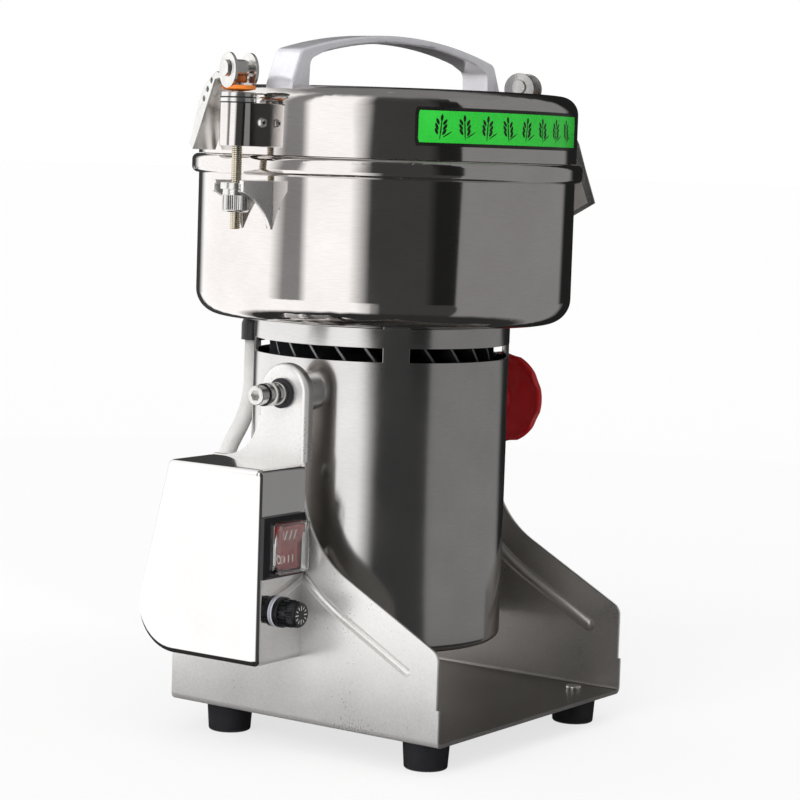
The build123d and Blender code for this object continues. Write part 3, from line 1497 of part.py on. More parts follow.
# --- files -------------------------------------------------------------------------------------
pieces = {
    "rubber_feet": rubber_feet.part,
    "foot_screws": foot_screws.part,
    "control_box": control_box.part,
    "box_screws": box_screws.part,
    "switch_housing": switch_housing.part,
    "rocker_button": rocker_button.part,
    "fuse_washer": fuse_washer.part,
    "fuse_holder": fuse_holder.part,
    "fuse_cap": fuse_cap.part,
    "plate_grommets": plate_grommets.part,
    "lock_nut": lock_nut.part,
    "lock_screw": lock_screw.part,
    "lock_knob": lock_knob.part,
    "housing_cover": housing_cover.part,
    "cover_screws": cover_screws.part,
    "pivot_bosses": pivot_bosses.part,
    "pivot_bolts": pivot_bolts.part,
    "pivot_washers": pivot_washers.part,
    "grinding_bowl": grinding_bowl.part,
    "bowl_brackets": bowl_brackets.part,
    "bowl_screws": bowl_screws.part,
    "shaft_seal": shaft_seal.part,
    "upper_bracket": upper_bracket.part,
    "lower_bracket": lower_bracket.part,
    "bearings": bearings.part,
    "motor_stator": motor_stator.part,
    "brush_holders": brush_holders.part,
    "carbon_brushes": carbon_brushes.part,
    "rotor_shaft": rotor_shaft.part,
    "armature_core": armature_core.part,
    "commutator": commutator.part,
    "cooling_fan": cooling_fan.part,
    "blade_spacers": blade_spacers.part,
    "blade_nut": blade_nut.part,
    "lead_gland": lead_gland.part,
    "motor_lead": motor_lead.part,
    "lid": lid.part,
    "lid_gasket": lid_gasket.part,
    "carry_handle": carry_handle.part,
    "handle_screws": handle_screws.part,
    "yoke_washers": yoke_washers.part,
    "yoke_rivets": yoke_rivets.part,
}
pieces |= drilled
pieces |= blades
for side in latch_angles:
    pieces[f"{side}_seat_cup"] = seat_cup(side)
    pieces[f"{side}_latch_rod"] = latch_rod(side)
    pieces[f"{side}_cam_pin"] = cam_pin(side)
    pieces[f"{side}_latch_lever"] = latch_lever(side)
    pieces[f"{side}_latch_nut"] = latch_nut(side)

for name, piece in pieces.items():
    save(piece, name)
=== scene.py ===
# %% [markdown]
# # Electric grain mill, dressed and lit
# A swing-type mill: a stainless grinding bowl with a lid, on a motor tube that is hung in a bent sheet
# stand. The solids come ready made and stay where they are. This notebook gives them their metals,
# rubbers and plastics, adds the forms that are too fine for the solids, and lights the result.
#
# Lengths are metres here, and the small helper `mm` turns millimetres into them.

import json
from math import cos, pi, radians, sin

import bmesh
import bpy
import numpy as np
from mathutils import Matrix, Vector


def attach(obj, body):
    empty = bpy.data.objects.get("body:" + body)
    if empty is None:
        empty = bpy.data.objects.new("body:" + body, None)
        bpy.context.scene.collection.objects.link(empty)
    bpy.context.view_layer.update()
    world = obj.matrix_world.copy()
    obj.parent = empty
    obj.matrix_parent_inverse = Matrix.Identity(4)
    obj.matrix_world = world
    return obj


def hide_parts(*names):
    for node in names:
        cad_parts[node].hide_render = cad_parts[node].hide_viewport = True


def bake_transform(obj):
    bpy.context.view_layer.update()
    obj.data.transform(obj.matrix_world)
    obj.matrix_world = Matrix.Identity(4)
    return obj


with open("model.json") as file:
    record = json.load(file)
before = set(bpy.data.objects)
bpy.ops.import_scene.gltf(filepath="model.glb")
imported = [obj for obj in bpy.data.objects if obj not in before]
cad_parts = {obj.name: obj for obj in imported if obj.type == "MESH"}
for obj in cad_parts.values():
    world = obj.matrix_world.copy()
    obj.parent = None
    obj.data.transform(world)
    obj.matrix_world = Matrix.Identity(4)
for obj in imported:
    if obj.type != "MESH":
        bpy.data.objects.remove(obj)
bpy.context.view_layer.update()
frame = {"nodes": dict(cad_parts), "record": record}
nodes = frame["nodes"]


def mm(*values):
    """Millimetres to metres: one number, or an array of them."""
    scaled = np.asarray(values, float) / 1000
    return scaled[0] if scaled.size == 1 else scaled


# %% [markdown]
# ## Camera
# It stands on the left front, about level with the rim of the bowl, and looks slightly down. A long lens
# keeps the upright edges nearly parallel. The three directions are its right, its up and its back.

# %%
camera_data = bpy.data.cameras.new("camera")
camera_data.sensor_width = 36.0
camera_data.lens = 113.2
camera_data.clip_start = 0.05
camera_data.clip_end = 60.0
camera = bpy.data.objects.new("camera", camera_data)
bpy.context.scene.collection.objects.link(camera)
bpy.context.scene.camera = camera

camera_right = Vector((0.57081, -0.82042, 0.03307))
camera_up = Vector((0.06095, 0.08250, 0.99473))
camera_back = camera_right.cross(camera_up)
turn = Matrix((camera_right, camera_up, camera_back)).transposed()
camera.matrix_world = Matrix.Translation(Vector(mm(-1088.1, -764.8, 301.9))) @ turn.to_4x4()
print("camera at", tuple(round(x, 3) for x in camera.location))

# %% [markdown]
# ## Small helpers for materials
# One function adds a node and wires it, and one turns a colour that is written the usual way into the
# linear numbers that light adds up in.


# %%
def linear(code):
    """sRGB hex colour to linear RGBA: c/12.92 for the darkest tones, else ((c + 0.055)/1.055)^2.4."""
    channels = np.array([int(code[k : k + 2], 16) for k in (1, 3, 5)]) / 255
    light = np.where(channels <= 0.04045, channels / 12.92, ((channels + 0.055) / 1.055) ** 2.4)
    return (*light.tolist(), 1.0)


def add(tree, kind, inputs=None, **settings):
    """Adds one node to a tree, with its settings, and joins or sets its inputs."""
    node = tree.nodes.new("ShaderNode" + kind)
    for name, value in settings.items():
        setattr(node, name, value)
    for socket, value in (inputs or {}).items():
        if isinstance(value, bpy.types.NodeSocket):
            tree.links.new(value, node.inputs[socket])
        else:
            node.inputs[socket].default_value = value
    return node


def material(name):
    """An empty node material with a Principled shader joined to its output."""
    made = bpy.data.materials.new(name)
    made.use_nodes = True
    made.node_tree.nodes.clear()
    shader = add(made.node_tree, "BsdfPrincipled")
    add(made.node_tree, "OutputMaterial", {"Surface": shader.outputs["BSDF"]})
    return made, made.node_tree, shader


def worn(name, shades, gloss, patch=25.0, grain=0.6, stretch=(1, 1, 1), relief=0.02, **constants):
    """A surface with patches between two shades and a fine grain in its gloss and its relief.

    patch and grain are sizes in millimetres. stretch scales the grain's coordinates: (1, 1, 40) draws it
    out level, as rings round an upright axis. relief is the depth of the grain in millimetres.
    """
    made, tree, shader = material(name)
    place = add(tree, "TexCoord").outputs["Object"]
    broad = add(tree, "TexNoise", {"Vector": place, "Scale": 1000 / patch, "Detail": 4.0})
    drawn = add(tree, "Mapping", {"Vector": place, "Scale": stretch})
    fine_inputs = {"Vector": drawn.outputs["Vector"], "Scale": 1000 / grain, "Detail": 3.0}
    fine = add(tree, "TexNoise", fine_inputs)
    both = add(tree, "Math", {0: broad.outputs["Fac"], 1: fine.outputs["Fac"]}, operation="ADD")
    shade = add(tree, "MapRange", {"Value": both.outputs[0], "From Min": 0.7, "From Max": 1.3})
    colour = add(
        tree,
        "Mix",
        {"Factor": shade.outputs[0], 6: linear(shades[0]), 7: linear(shades[1])},
        data_type="RGBA",
    )
    rough_inputs = {"Value": both.outputs[0], "From Min": 0.6, "From Max": 1.4}
    rough = add(tree, "MapRange", {**rough_inputs, "To Min": gloss[0], "To Max": gloss[1]})
    bump = add(
        tree, "Bump", {"Height": fine.outputs["Fac"], "Strength": 0.6, "Distance": relief / 1000}
    )
    tree.links.new(colour.outputs[2], shader.inputs["Base Color"])
    tree.links.new(rough.outputs[0], shader.inputs["Roughness"])
    tree.links.new(bump.outputs["Normal"], shader.inputs["Normal"])
    for socket, value in constants.items():
        shader.inputs[socket.replace("_", " ")].default_value = value
    return made


# %% [markdown]
# ## Metals
# Every metal part is steel, aluminium or brass, so it is the finish that tells them apart. Sheet that
# came from a blasting drum has a fine, even grain. The spun bowl and the lid were polished on a lathe,
# which leaves level rings. The motor tube was only brushed, so its rings are rougher.

# %%
METAL = {"Metallic": 1.0}
# blasted and cast surfaces scatter part of the light as chalk does, so they are only part metal
SATIN_STEEL = worn(
    "satin_steel", ("#e4e2e0", "#f3f1ef"), (0.26, 0.36), 30, 0.9, relief=0.016, Metallic=0.84
)
MIRROR_STEEL = worn("mirror_steel", ("#e9e7e6", "#f4f3f2"), (0.05, 0.10), 40, 0.4, relief=0.001, **METAL)
POLISHED_STEEL = worn(
    "polished_steel", ("#dfdad7", "#ede9e7"), (0.05, 0.10), 30, 6.0, (1, 1, 30), 0.002, **METAL
)
BRUSHED_STEEL = worn(
    "brushed_steel", ("#cbc9c8", "#dcdad8"), (0.12, 0.20), 30, 5.0, (1, 1, 40), 0.006, **METAL
)
PLATED_STEEL = worn(
    "plated_steel", ("#d6d5d3", "#ecebe8"), (0.14, 0.24), 8, 0.5, relief=0.005, Metallic=0.96
)
CAST_POLISHED = worn(
    "cast_polished", ("#e4e3e9", "#f4f3f8"), (0.12, 0.24), 12, 0.8, relief=0.03, Metallic=0.45
)
BRASS_ROD = worn("brass_rod", ("#c3b08c", "#ddd0b4"), (0.25, 0.40), 4, 0.4, relief=0.01, **METAL)
CAST_ROUGH = worn(
    "cast_aluminium_rough", ("#8f9093", "#a9aaac"), (0.45, 0.6), 10, 0.9, relief=0.08, **METAL
)
LAMINATIONS = worn("laminations", ("#4b4d52", "#6c6e72"), (0.35, 0.5), 8, 4.0, (1, 1, 30), 0.05, **METAL)
COPPER_BARS = worn("copper_bars", ("#a8683c", "#c98a58"), (0.25, 0.4), 6, 0.5, relief=0.01, **METAL)
HARD_STEEL = worn("hard_steel", ("#9b9a99", "#bdbbb9"), (0.22, 0.36), 12, 0.6, relief=0.01, **METAL)
BLACK_STEEL = worn("black_steel", ("#1f1f21", "#35353a"), (0.3, 0.45), 6, 0.5, relief=0.01, **METAL)
print("metals:", len(bpy.data.materials))

# %% [markdown]
# ## The channel's two sides
# The outside of the bent sheet is pale and part chalky from the blasting. The faces that look at each other
# between the plates get a darker tone, and the floor the darkest. A real sheet is most likely alike on both
# sides: the darker tones stand for the shade and the dark reflections in there. The side
# a face belongs to comes from its normal, and for the cut edges from how far out they lie. The blasting's
# grain is too fine to see as relief, so it is only in the colour and the gloss.

# %%
CHANNEL_STEEL = worn("channel_steel", ("#e6e4e2", "#f5f3f1"), (0.26, 0.36), 30, 1.3, relief=0.0)
tree = CHANNEL_STEEL.node_tree
shader = next(node for node in tree.nodes if node.type == "BSDF_PRINCIPLED")
coordinates = add(tree, "TexCoord")
place = add(tree, "SeparateXYZ", {0: coordinates.outputs["Object"]})
facing = add(tree, "SeparateXYZ", {0: coordinates.outputs["Normal"]})
from_middle = add(tree, "Math", {0: place.outputs["X"]}, operation="ABSOLUTE")
far_out = add(
    tree, "MapRange", {"Value": from_middle.outputs[0], "From Min": mm(87.2), "From Max": mm(88.2)}
)
turned_out = add(
    tree, "Math", {0: place.outputs["X"], 1: facing.outputs["X"]}, operation="MULTIPLY"
)
faces_out = add(
    tree, "MapRange", {"Value": turned_out.outputs[0], "From Min": mm(10), "From Max": mm(40)}
)
outside = add(tree, "Math", {0: far_out.outputs[0], 1: faces_out.outputs[0]}, operation="MAXIMUM")
# painted shade and painted reflection: the faces between the plates are darker and the floor the darkest,
# while the outside keeps the plain sheet colour
level = add(tree, "MapRange", {"Value": facing.outputs["Z"], "From Min": 0.5, "From Max": 0.9})
metal_share = add(tree, "MapRange", {"Value": outside.outputs[0], "To Min": 0.88, "To Max": 0.66})
painted_inner_shade = add(
    tree,
    "Mix",
    {"Factor": level.outputs[0], 6: linear("#cfccc9"), 7: linear("#85827f")},
    data_type="RGBA",
)
painted_side_shade = add(
    tree,
    "Mix",
    {"Factor": outside.outputs[0], 6: painted_inner_shade.outputs[2], 7: linear("#ffffff")},
    data_type="RGBA",
)
colour = add(
    tree,
    "Mix",
    {"Factor": 1.0, 6: shader.inputs["Base Color"].links[0].from_socket, 7: painted_side_shade.outputs[2]},
    data_type="RGBA",
    blend_type="MULTIPLY",
)
tree.links.new(colour.outputs[2], shader.inputs["Base Color"])
tree.links.new(metal_share.outputs[0], shader.inputs["Metallic"])
print("channel finish:", len(tree.nodes), "nodes")

# %% [markdown]
# ## Rubber, plastic and the rest
# Moulded rubber is matt with a faint bloom. The knob and the rocker are glossy and deep red, and the
# cup under each lever is orange nylon.

# %%
BLACK_RUBBER = worn("black_rubber", ("#17171a", "#26262a"), (0.50, 0.68), 9, 0.7, relief=0.03)
BLACK_PLASTIC = worn("black_plastic", ("#101012", "#1c1c1f"), (0.26, 0.38), 10, 0.6, relief=0.01)
RED_PLASTIC = worn("red_plastic", ("#8e0209", "#a5040d"), (0.12, 0.22), 14, 0.8, relief=0.01)
RED_ROCKER = worn("red_rocker", ("#6c1114", "#8a1a1a"), (0.08, 0.16), 8, 0.6, relief=0.005)
ORANGE_NYLON = worn("orange_plastic", ("#d9701c", "#ec8a2e"), (0.3, 0.42), 4, 0.4, relief=0.01)
SILICONE = worn("silicone", ("#c9c6bf", "#dbd9d3"), (0.45, 0.6), 12, 0.6, relief=0.01)
CARBON = worn("carbon", ("#1a1a1b", "#2b2b2d"), (0.5, 0.65), 4, 0.4, relief=0.03)
INSULATING_BOARD = worn("insulating_board", ("#5b3a22", "#704a2c"), (0.4, 0.55), 6, 0.5, relief=0.02)
LEAD_SHEATH = worn("lead_sheath", ("#d2d1cf", "#e2e1de"), (0.36, 0.5), 12, 0.7, relief=0.01)
LABEL_BLACK = worn("label_black", ("#131311", "#1f1f1c"), (0.24, 0.34), 12, 0.7, relief=0.004)
LABEL_GREEN = worn("label_green", ("#1fb52e", "#2cc63b"), (0.24, 0.34), 20, 0.7, relief=0.004)
PALE_PRINT = worn("pale_print", ("#cfcfcb", "#e3e3df"), (0.35, 0.45), 4, 0.4, relief=0.004)
AMBER_NYLON = worn("amber_nylon", ("#8e4a1c", "#a85d26"), (0.2, 0.3), 3, 0.4, relief=0.01)
CLEAR_COVER = worn(
    "clear_polycarbonate",
    ("#f3f3f1", "#fbfbfa"),
    (0.02, 0.05),
    10,
    0.8,
    relief=0.002,
    Transmission_Weight=1.0,
    IOR=1.45,
)
WASHER_WHITE = worn("washer_nylon", ("#b9bcc6", "#cfd2da"), (0.3, 0.42), 5, 0.5, relief=0.01)

SLOT_FINISH = {
    "satin_steel": SATIN_STEEL,
    "mirror_steel": MIRROR_STEEL,
    "polished_steel": POLISHED_STEEL,
    "brushed_steel": BRUSHED_STEEL,
    "plated_steel": PLATED_STEEL,
    "black_rubber": BLACK_RUBBER,
    "black_plastic": BLACK_PLASTIC,
    "red_plastic": RED_PLASTIC,
    "red_rocker": RED_ROCKER,
    "orange_plastic": ORANGE_NYLON,
    "silicone": SILICONE,
    "cast_aluminium": CAST_POLISHED,
    "cast_aluminium_rough": CAST_ROUGH,
    "laminations": LAMINATIONS,
    "copper_bars": COPPER_BARS,
    "carbon": CARBON,
    "insulating_board": INSULATING_BOARD,
    "hard_steel": HARD_STEEL,
    "lead_sheath": LEAD_SHEATH,
    "black_steel": BLACK_STEEL,
}
node_slot = {part["node"]: part["material_slot"] for part in frame["record"]["subparts"]}
own_finish = {"fuse_washer": WASHER_WHITE, "base_channel": CHANNEL_STEEL}
for name, solid in nodes.items():
    finish = own_finish.get(name) or SLOT_FINISH[node_slot[name]]
    solid.data.materials.clear()
    solid.data.materials.append(finish)
print("finishes:", len(bpy.data.materials))

# %% [markdown]
# ## Edges of the solids
# A sheet edge or a turned corner is never knife sharp. The triangles of each solid are joined up and a
# bevel of a few tenths rounds the corners, so that they catch a thin line of light as real ones do. The
# large faces then set the shading of their edges, or else a long plain wall would shine as if it bulged.

# %%
FINE_EDGE = mm(0.25)
edge_width = {
    "base_channel": mm(0.35),
    "control_box": mm(0.2),
    "carry_handle": mm(0.3),
    "rubber_feet": mm(0.4),
}
plain_nodes = {"cooling_fan", "motor_lead", "armature_core", "motor_stator", "commutator"}
for name, solid in nodes.items():
    weld = solid.modifiers.new("weld", "WELD")
    weld.merge_threshold = 1e-6
    if name not in plain_nodes:
        bevel = solid.modifiers.new("bevel", "BEVEL")
        bevel.width = edge_width.get(name, FINE_EDGE)
        bevel.segments = 2
        bevel.limit_method = "ANGLE"
        bevel.angle_limit = radians(38)
        flat = solid.modifiers.new("flat_faces", "WEIGHTED_NORMAL")
        flat.mode = "FACE_AREA"
        flat.weight = 90
print("bevelled:", len(nodes) - len(plain_nodes))

# %% [markdown]
# ## Surfaces from formulas
# Each added piece is a grid of points from a formula in two parameters. A grid may close on itself one
# way or both ways, and its last rows may shrink to a point, which shuts the piece.


# %%
def grid_mesh(points, around=False, along=False):
    """Vertices and quads of a grid: quad (i, j) joins points (i, j), (i+1, j), (i+1, j+1), (i, j+1).

    points has the shape (rows, columns, 3). around closes the columns on themselves, along the rows.
    """
    rows, columns = points.shape[:2]
    index = np.arange(rows * columns).reshape(rows, columns)
    if around:
        index = np.concatenate([index, index[:, :1]], axis=1)
    if along:
        index = np.concatenate([index, index[:1]], axis=0)
    quads = np.stack([index[:-1, :-1], index[:-1, 1:], index[1:, 1:], index[1:, :-1]], axis=-1)
    return points.reshape(-1, 3), quads.reshape(-1, 4)


def piece(name, grids, finish, body=None, smooth=True):
    """One object from one or more grids, with its finish and the body it rides on."""
    vertices, faces, start = [], [], 0
    for points, quads in grids:
        vertices.append(points)
        faces.append(quads + start)
        start += len(points)
    vertices = np.concatenate(vertices)
    faces = np.concatenate(faces)
    mesh = bpy.data.meshes.new(name)
    mesh.from_pydata(vertices.tolist(), [], faces.tolist())
    mesh.validate(clean_customdata=False)
    mesh.polygons.foreach_set("use_smooth", np.full(len(mesh.polygons), smooth))
    mesh.materials.append(finish)
    made = bpy.data.objects.new(name, mesh)
    bpy.context.scene.collection.objects.link(made)
    weld = made.modifiers.new("weld", "WELD")
    weld.merge_threshold = 1e-7
    if body:
        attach(made, body)
    print(name, "-", len(mesh.polygons), "faces")
    return made


def circle(axis, first, t):
    """An axis and the unit circle about it: cos t * first + sin t * second, second = axis x first."""
    axis, first = np.asarray(axis, float), np.asarray(first, float)
    second = np.cross(axis, first)
    return axis, np.cos(t)[:, None] * first + np.sin(t)[:, None] * second


def turned(profile, origin, axis, first, columns=48):
    """Surface of revolution: profile rows (distance, radius) along an axis from an origin.

    point = origin + distance * axis + radius * (cos t * first + sin t * second)
    """
    axis, ring = circle(axis, first, np.linspace(0, 2 * pi, columns, endpoint=False))
    distance, radius = np.asarray(profile, float).T
    points = np.asarray(origin) + distance[:, None, None] * axis + radius[:, None, None] * ring[None]
    return grid_mesh(points, around=True)


# %% [markdown]
# ## Latch rods: thread and knurl
# The lower end of each rod is cut with a coarse thread and the nut on it is knurled, so that it can be
# set with the fingers. Both are a radius that changes with the turn and the height: a saw tooth that
# climbs one pitch a turn makes the thread, and a tooth that repeats round the turn makes the knurl's
# straight ribs.

# %%
ROD_CIRCLE = 113.0
ROD_TURN = {"left": radians(174.0), "right": radians(-6.0)}


def rod_axis(side):
    """The point of a latch rod's axis at the table."""
    return np.array([ROD_CIRCLE * cos(ROD_TURN[side]), ROD_CIRCLE * sin(ROD_TURN[side]), 0.0]) / 1000


def tooth(value):
    """Triangle wave of period 1 between 0 and 1: 1 - |2 (value mod 1) - 1|."""
    return 1 - np.abs(2 * np.mod(value, 1.0) - 1)


def thread_grid(origin, bottom, top, core, depth, pitch, columns=28):
    """Threaded rod: radius = core + depth * tooth(height / pitch - turn), shut at its lower end."""
    height = np.linspace(bottom, top, int((top - bottom) / pitch * 6) + 1)
    height = np.concatenate([[bottom], height])
    turn_share = np.arange(columns) / columns
    radius = core + depth * tooth(height[:, None] / pitch - turn_share[None])
    radius[0] = 0
    radius[1] = core * 0.8
    t = 2 * pi * turn_share
    across = radius[..., None] * np.stack([np.cos(t), np.sin(t)], -1)[None]
    points = np.concatenate([across, np.broadcast_to(height[:, None, None], (*radius.shape, 1))], -1)
    return grid_mesh(np.asarray(origin) + points, around=True)


def ribbed_grid(origin, axis, first, profile, depth, count, columns=None):
    """Surface of revolution with straight ribs: radius = profile + depth * tooth(count * turn).

    Rows of the profile are (distance, radius, share of the ribs' depth), and a radius of 0 shuts an end.
    """
    columns = columns or 6 * count
    distance, radius, share = np.asarray(profile, float).T
    turn_share = np.arange(columns) / columns
    out = radius[:, None] + depth * share[:, None] * tooth(count * turn_share)[None]
    axis, ring = circle(axis, first, 2 * pi * turn_share)
    points = np.asarray(origin) + distance[:, None, None] * axis + out[..., None] * ring[None]
    return grid_mesh(points, around=True)


def ring_grid(origin, axis, first, major, minor, columns=64, rows=12):
    """Round ring: a circle of radius minor carried round a circle of radius major about an axis."""
    axis, ring = circle(axis, first, np.linspace(0, 2 * pi, columns, endpoint=False))
    s = np.linspace(0, 2 * pi, rows, endpoint=False)
    reach = major + minor * np.cos(s)
    rise = minor * np.sin(s)
    points = np.asarray(origin) + reach[:, None, None] * ring[None] + rise[:, None, None] * axis
    return grid_mesh(points, around=True, along=True)


UP, EAST = (0, 0, 1), (1, 0, 0)
NUT_PROFILE = [
    (271.2, 0, 0), (271.2, 5.6, 0), (271.9, 6.5, 0), (272.3, 6.6, 1), (279.2, 6.6, 1), (279.5, 6.55, 0),
    (279.9, 6.2, 0), (280.5, 6.2, 0), (280.8, 6.7, 0), (282.1, 6.7, 0), (282.1, 0, 0),
]
for side in ROD_TURN:
    foot = rod_axis(side)
    piece(
        f"{side}_rod_thread",
        [thread_grid(foot, mm(262.6), mm(303.2), mm(2.3), mm(0.32), mm(1.0))],
        BRASS_ROD,
        f"{side}_rod",
    )
    profile = np.array(NUT_PROFILE) * (0.001, 0.001, 1)
    knurl = ribbed_grid(foot, UP, EAST, profile, mm(0.35), 40)
    piece(f"{side}_nut_knurl", [knurl], PLATED_STEEL, f"{side}_nut", smooth=False)

# %% [markdown]
# ## Latch yokes: rivets, rings and bush
# A rivet with a round rim and a star recess goes through each yoke. A thin black ring lies under each of
# the two washers on the yoke, and a short amber bush is on the rod under the cam pin.

# %%
RIVET_CIRCLE, RIVET_HEIGHT, RIVET_FACE = mm(105.1), mm(315.2), mm(10.1)
RIM_PROFILE = [(-0.2, 0), (-0.2, 2.1), (0.2, 1.9), (0.32, 1.6), (0.2, 1.25), (0.06, 1.15), (0.06, 0)]


def star_grid(origin, axis, first, radius, points=6, columns=72):
    """Flat star: radius * share * (1 + 0.28 cos(points t)), for a share from 0 to 1."""
    t = np.linspace(0, 2 * pi, columns, endpoint=False)
    ring = circle(axis, first, t)[1]
    edge = radius * (1 + 0.28 * np.cos(points * t))
    spread = edge[:, None] * ring
    share = np.array([0.0, 0.6, 1.0])
    return grid_mesh(np.asarray(origin) + share[:, None, None] * spread[None], around=True)


rims, recess_shades, seals = [], [], []
for side, around in ROD_TURN.items():
    outwards = np.array([cos(around), sin(around), 0.0])
    for way in (-1, 1):
        axis = way * np.array([sin(around), -cos(around), 0.0])
        face = RIVET_CIRCLE * outwards + RIVET_FACE * axis + (0, 0, RIVET_HEIGHT)
        rims.append(turned(np.array(RIM_PROFILE) / 1000, face, axis, UP))
        # painted shade: each star recess is a flat dark star laid just off the rivet's face
        recess_shades.append(star_grid(face + mm(0.1) * axis, axis, UP, mm(0.8)))
    for height, major in ((324.75, 8.6), (327.15, 8.55)):
        centre = rod_axis(side) + (0, 0, mm(height))
        seals.append(ring_grid(centre, UP, EAST, mm(major), mm(0.42)))
    bush = [(334.4, 0), (334.4, 3.6), (335.0, 4.1), (337.2, 4.1), (337.8, 3.6), (337.8, 0)]
    bush_grid = turned(np.array(bush) / 1000, rod_axis(side), UP, EAST)
    piece(f"{side}_pin_bush", [bush_grid], AMBER_NYLON, f"{side}_rod")
piece("rivet_rims", rims, PLATED_STEEL, "lid")
piece("rivet_recess_shades", recess_shades, BLACK_STEEL, "lid")
piece("yoke_seals", seals, BLACK_RUBBER, "lid")

# %% [markdown]
# ## Tilt pivot
# Outside the ear the pivot bolt carries a thick black washer and a bright turned sleeve with a groove.

# %%
PIVOT = mm(0, -2.6, 181.0)
WEST = (-1, 0, 0)
SLEEVE = [
    (90.9, 0), (90.9, 5.5), (91.2, 5.8), (97.0, 5.8), (97.3, 5.4), (97.9, 5.4), (98.2, 5.8), (104.5, 5.8),
    (104.8, 5.5), (104.8, 0),
]
WASHER = [(89.1, 0), (89.1, 7.2), (89.5, 7.6), (90.7, 7.6), (91.1, 7.2), (91.1, 0)]
sleeve = turned(np.array(SLEEVE) / 1000, PIVOT, WEST, UP)
piece("pivot_sleeve", [sleeve], PLATED_STEEL, "head")
washer = turned(np.array(WASHER) / 1000, PIVOT, WEST, UP)
piece("pivot_ring", [washer], BLACK_RUBBER, "head")

# %% [markdown]
# ## Rocker switch: clear cover and marks
# A clear cap keeps flour off the rocker. It is a thin shell: the outline of a rounded rectangle is drawn
# in towards its middle while it comes forward, and Solidify gives it its wall. The rocker has pale bars
# above and a pale ring with bars below, in the manner of the usual marks for on and off.

# %%
SWITCH = mm(-107.6, 0, 107.5)
ROCKER_SLOPE = np.tan(radians(16.0))


def rounded_outline(half_width, half_height, corner, columns=72):
    """Rounded rectangle: clip(4 cos t) and clip(4 sin t) place the straight sides, a circle the corners."""
    t = np.linspace(0, 2 * pi, columns, endpoint=False)
    x = np.clip(4 * np.cos(t), -1, 1) * (half_width - corner) + corner * np.cos(t)
    z = np.clip(4 * np.sin(t), -1, 1) * (half_height - corner) + corner * np.sin(t)
    return x, z


def cap_grid(half_width, half_height, corner, rows):
    """Cap over the switch: rows of (y, inset) draw the outline in; the last row is its middle."""
    loops = []
    for y, inset in rows:
        x, z = rounded_outline(half_width - inset, half_height - inset, max(corner - inset, mm(0.3)))
        loops.append(np.stack([x, np.full_like(x, y), z], -1))
    loops.append(np.broadcast_to([0.0, rows[-1][0], 0.0], loops[0].shape))
    return grid_mesh(np.array(loops) + SWITCH, around=True)


COVER_ROWS = [(-22.95, 0), (-27.2, 0), (-27.9, 0.25), (-28.3, 0.8), (-28.4, 1.4), (-28.4, 6.0)]
cover_grid = cap_grid(mm(11.5), mm(12.6), mm(1.8), (np.array(COVER_ROWS) / 1000).tolist())
switch_cover = piece("switch_cover", [cover_grid], CLEAR_COVER, "stand")
wall = switch_cover.modifiers.new("wall", "SOLIDIFY")
wall.thickness = mm(0.7)
wall.offset = -1


def mark_grid(x, z, half_width, half_height, slope):
    """Raised bar on the rocker's face: y = face - slope * height - 0.15 mm, with a rounded outline."""
    across, up = rounded_outline(half_width, half_height, half_width * 0.9, 40)
    share = np.array([1.0, 1.0, 0.8, 0.0])[:, None]
    lift = mm(0, 0.12, 0.2, 0.2)[:, None]
    px = SWITCH[0] + x + share * across
    pz = SWITCH[2] + z + share * up
    py = mm(-22.4) - slope * (pz - SWITCH[2]) - lift
    return grid_mesh(np.stack([px, np.broadcast_to(py, px.shape), pz], -1), around=True)


bars = [mark_grid(mm(x), mm(6.0), mm(0.35), mm(2.4), ROCKER_SLOPE) for x in (-3.6, 0.0, 3.6)]
off_ring = ring_grid(SWITCH + mm(-3.6, -22.45, -6.2), (0, -1, 0), UP, mm(1.9), mm(0.3), 40, 8)
off_bars = [mark_grid(mm(x), mm(-6.2), mm(0.3), mm(1.9), 0.0) for x in (1.2, 4.4)]
piece("rocker_marks", [*bars, off_ring, *off_bars], PALE_PRINT, "rocker")

# %% [markdown]
# ## Fuse cap
# The cap has fine straight ribs for the fingers and plain tick marks round its end.

# %%
FUSE = mm(-107.6, 0, 74.5)
SOUTH = (0, -1, 0)
RIBS = [(27.4, 0, 0), (27.4, 6.2, 0), (27.7, 6.25, 1), (31.3, 6.25, 1), (31.8, 5.9, 0), (31.8, 0, 0)]
profile = np.array(RIBS) * (0.001, 0.001, 1)
ribs = ribbed_grid(FUSE, SOUTH, EAST, profile, mm(0.3), 36)
piece("fuse_ribs", [ribs], BLACK_PLASTIC, "fuse", smooth=False)


def tick_grid(turn, inner, outer, half_width, y):
    """Flat tick: corners at the inner and the outer radius, half a width to each side of a direction."""
    along = np.array([cos(turn), 0.0, sin(turn)])
    across = np.array([-sin(turn), 0.0, cos(turn)])
    reach = np.array([inner, outer])[:, None, None] * along
    side = np.array([-half_width, half_width])[None, :, None] * across
    return grid_mesh(FUSE + reach + side + np.array([0.0, y, 0.0]))


ticks = [
    tick_grid(radians(30 * k), mm(3.0 if k % 3 else 2.2), mm(4.6), mm(0.22), mm(-32.56)) for k in range(12)
]
piece("fuse_ticks", ticks, PALE_PRINT, "fuse", smooth=False)
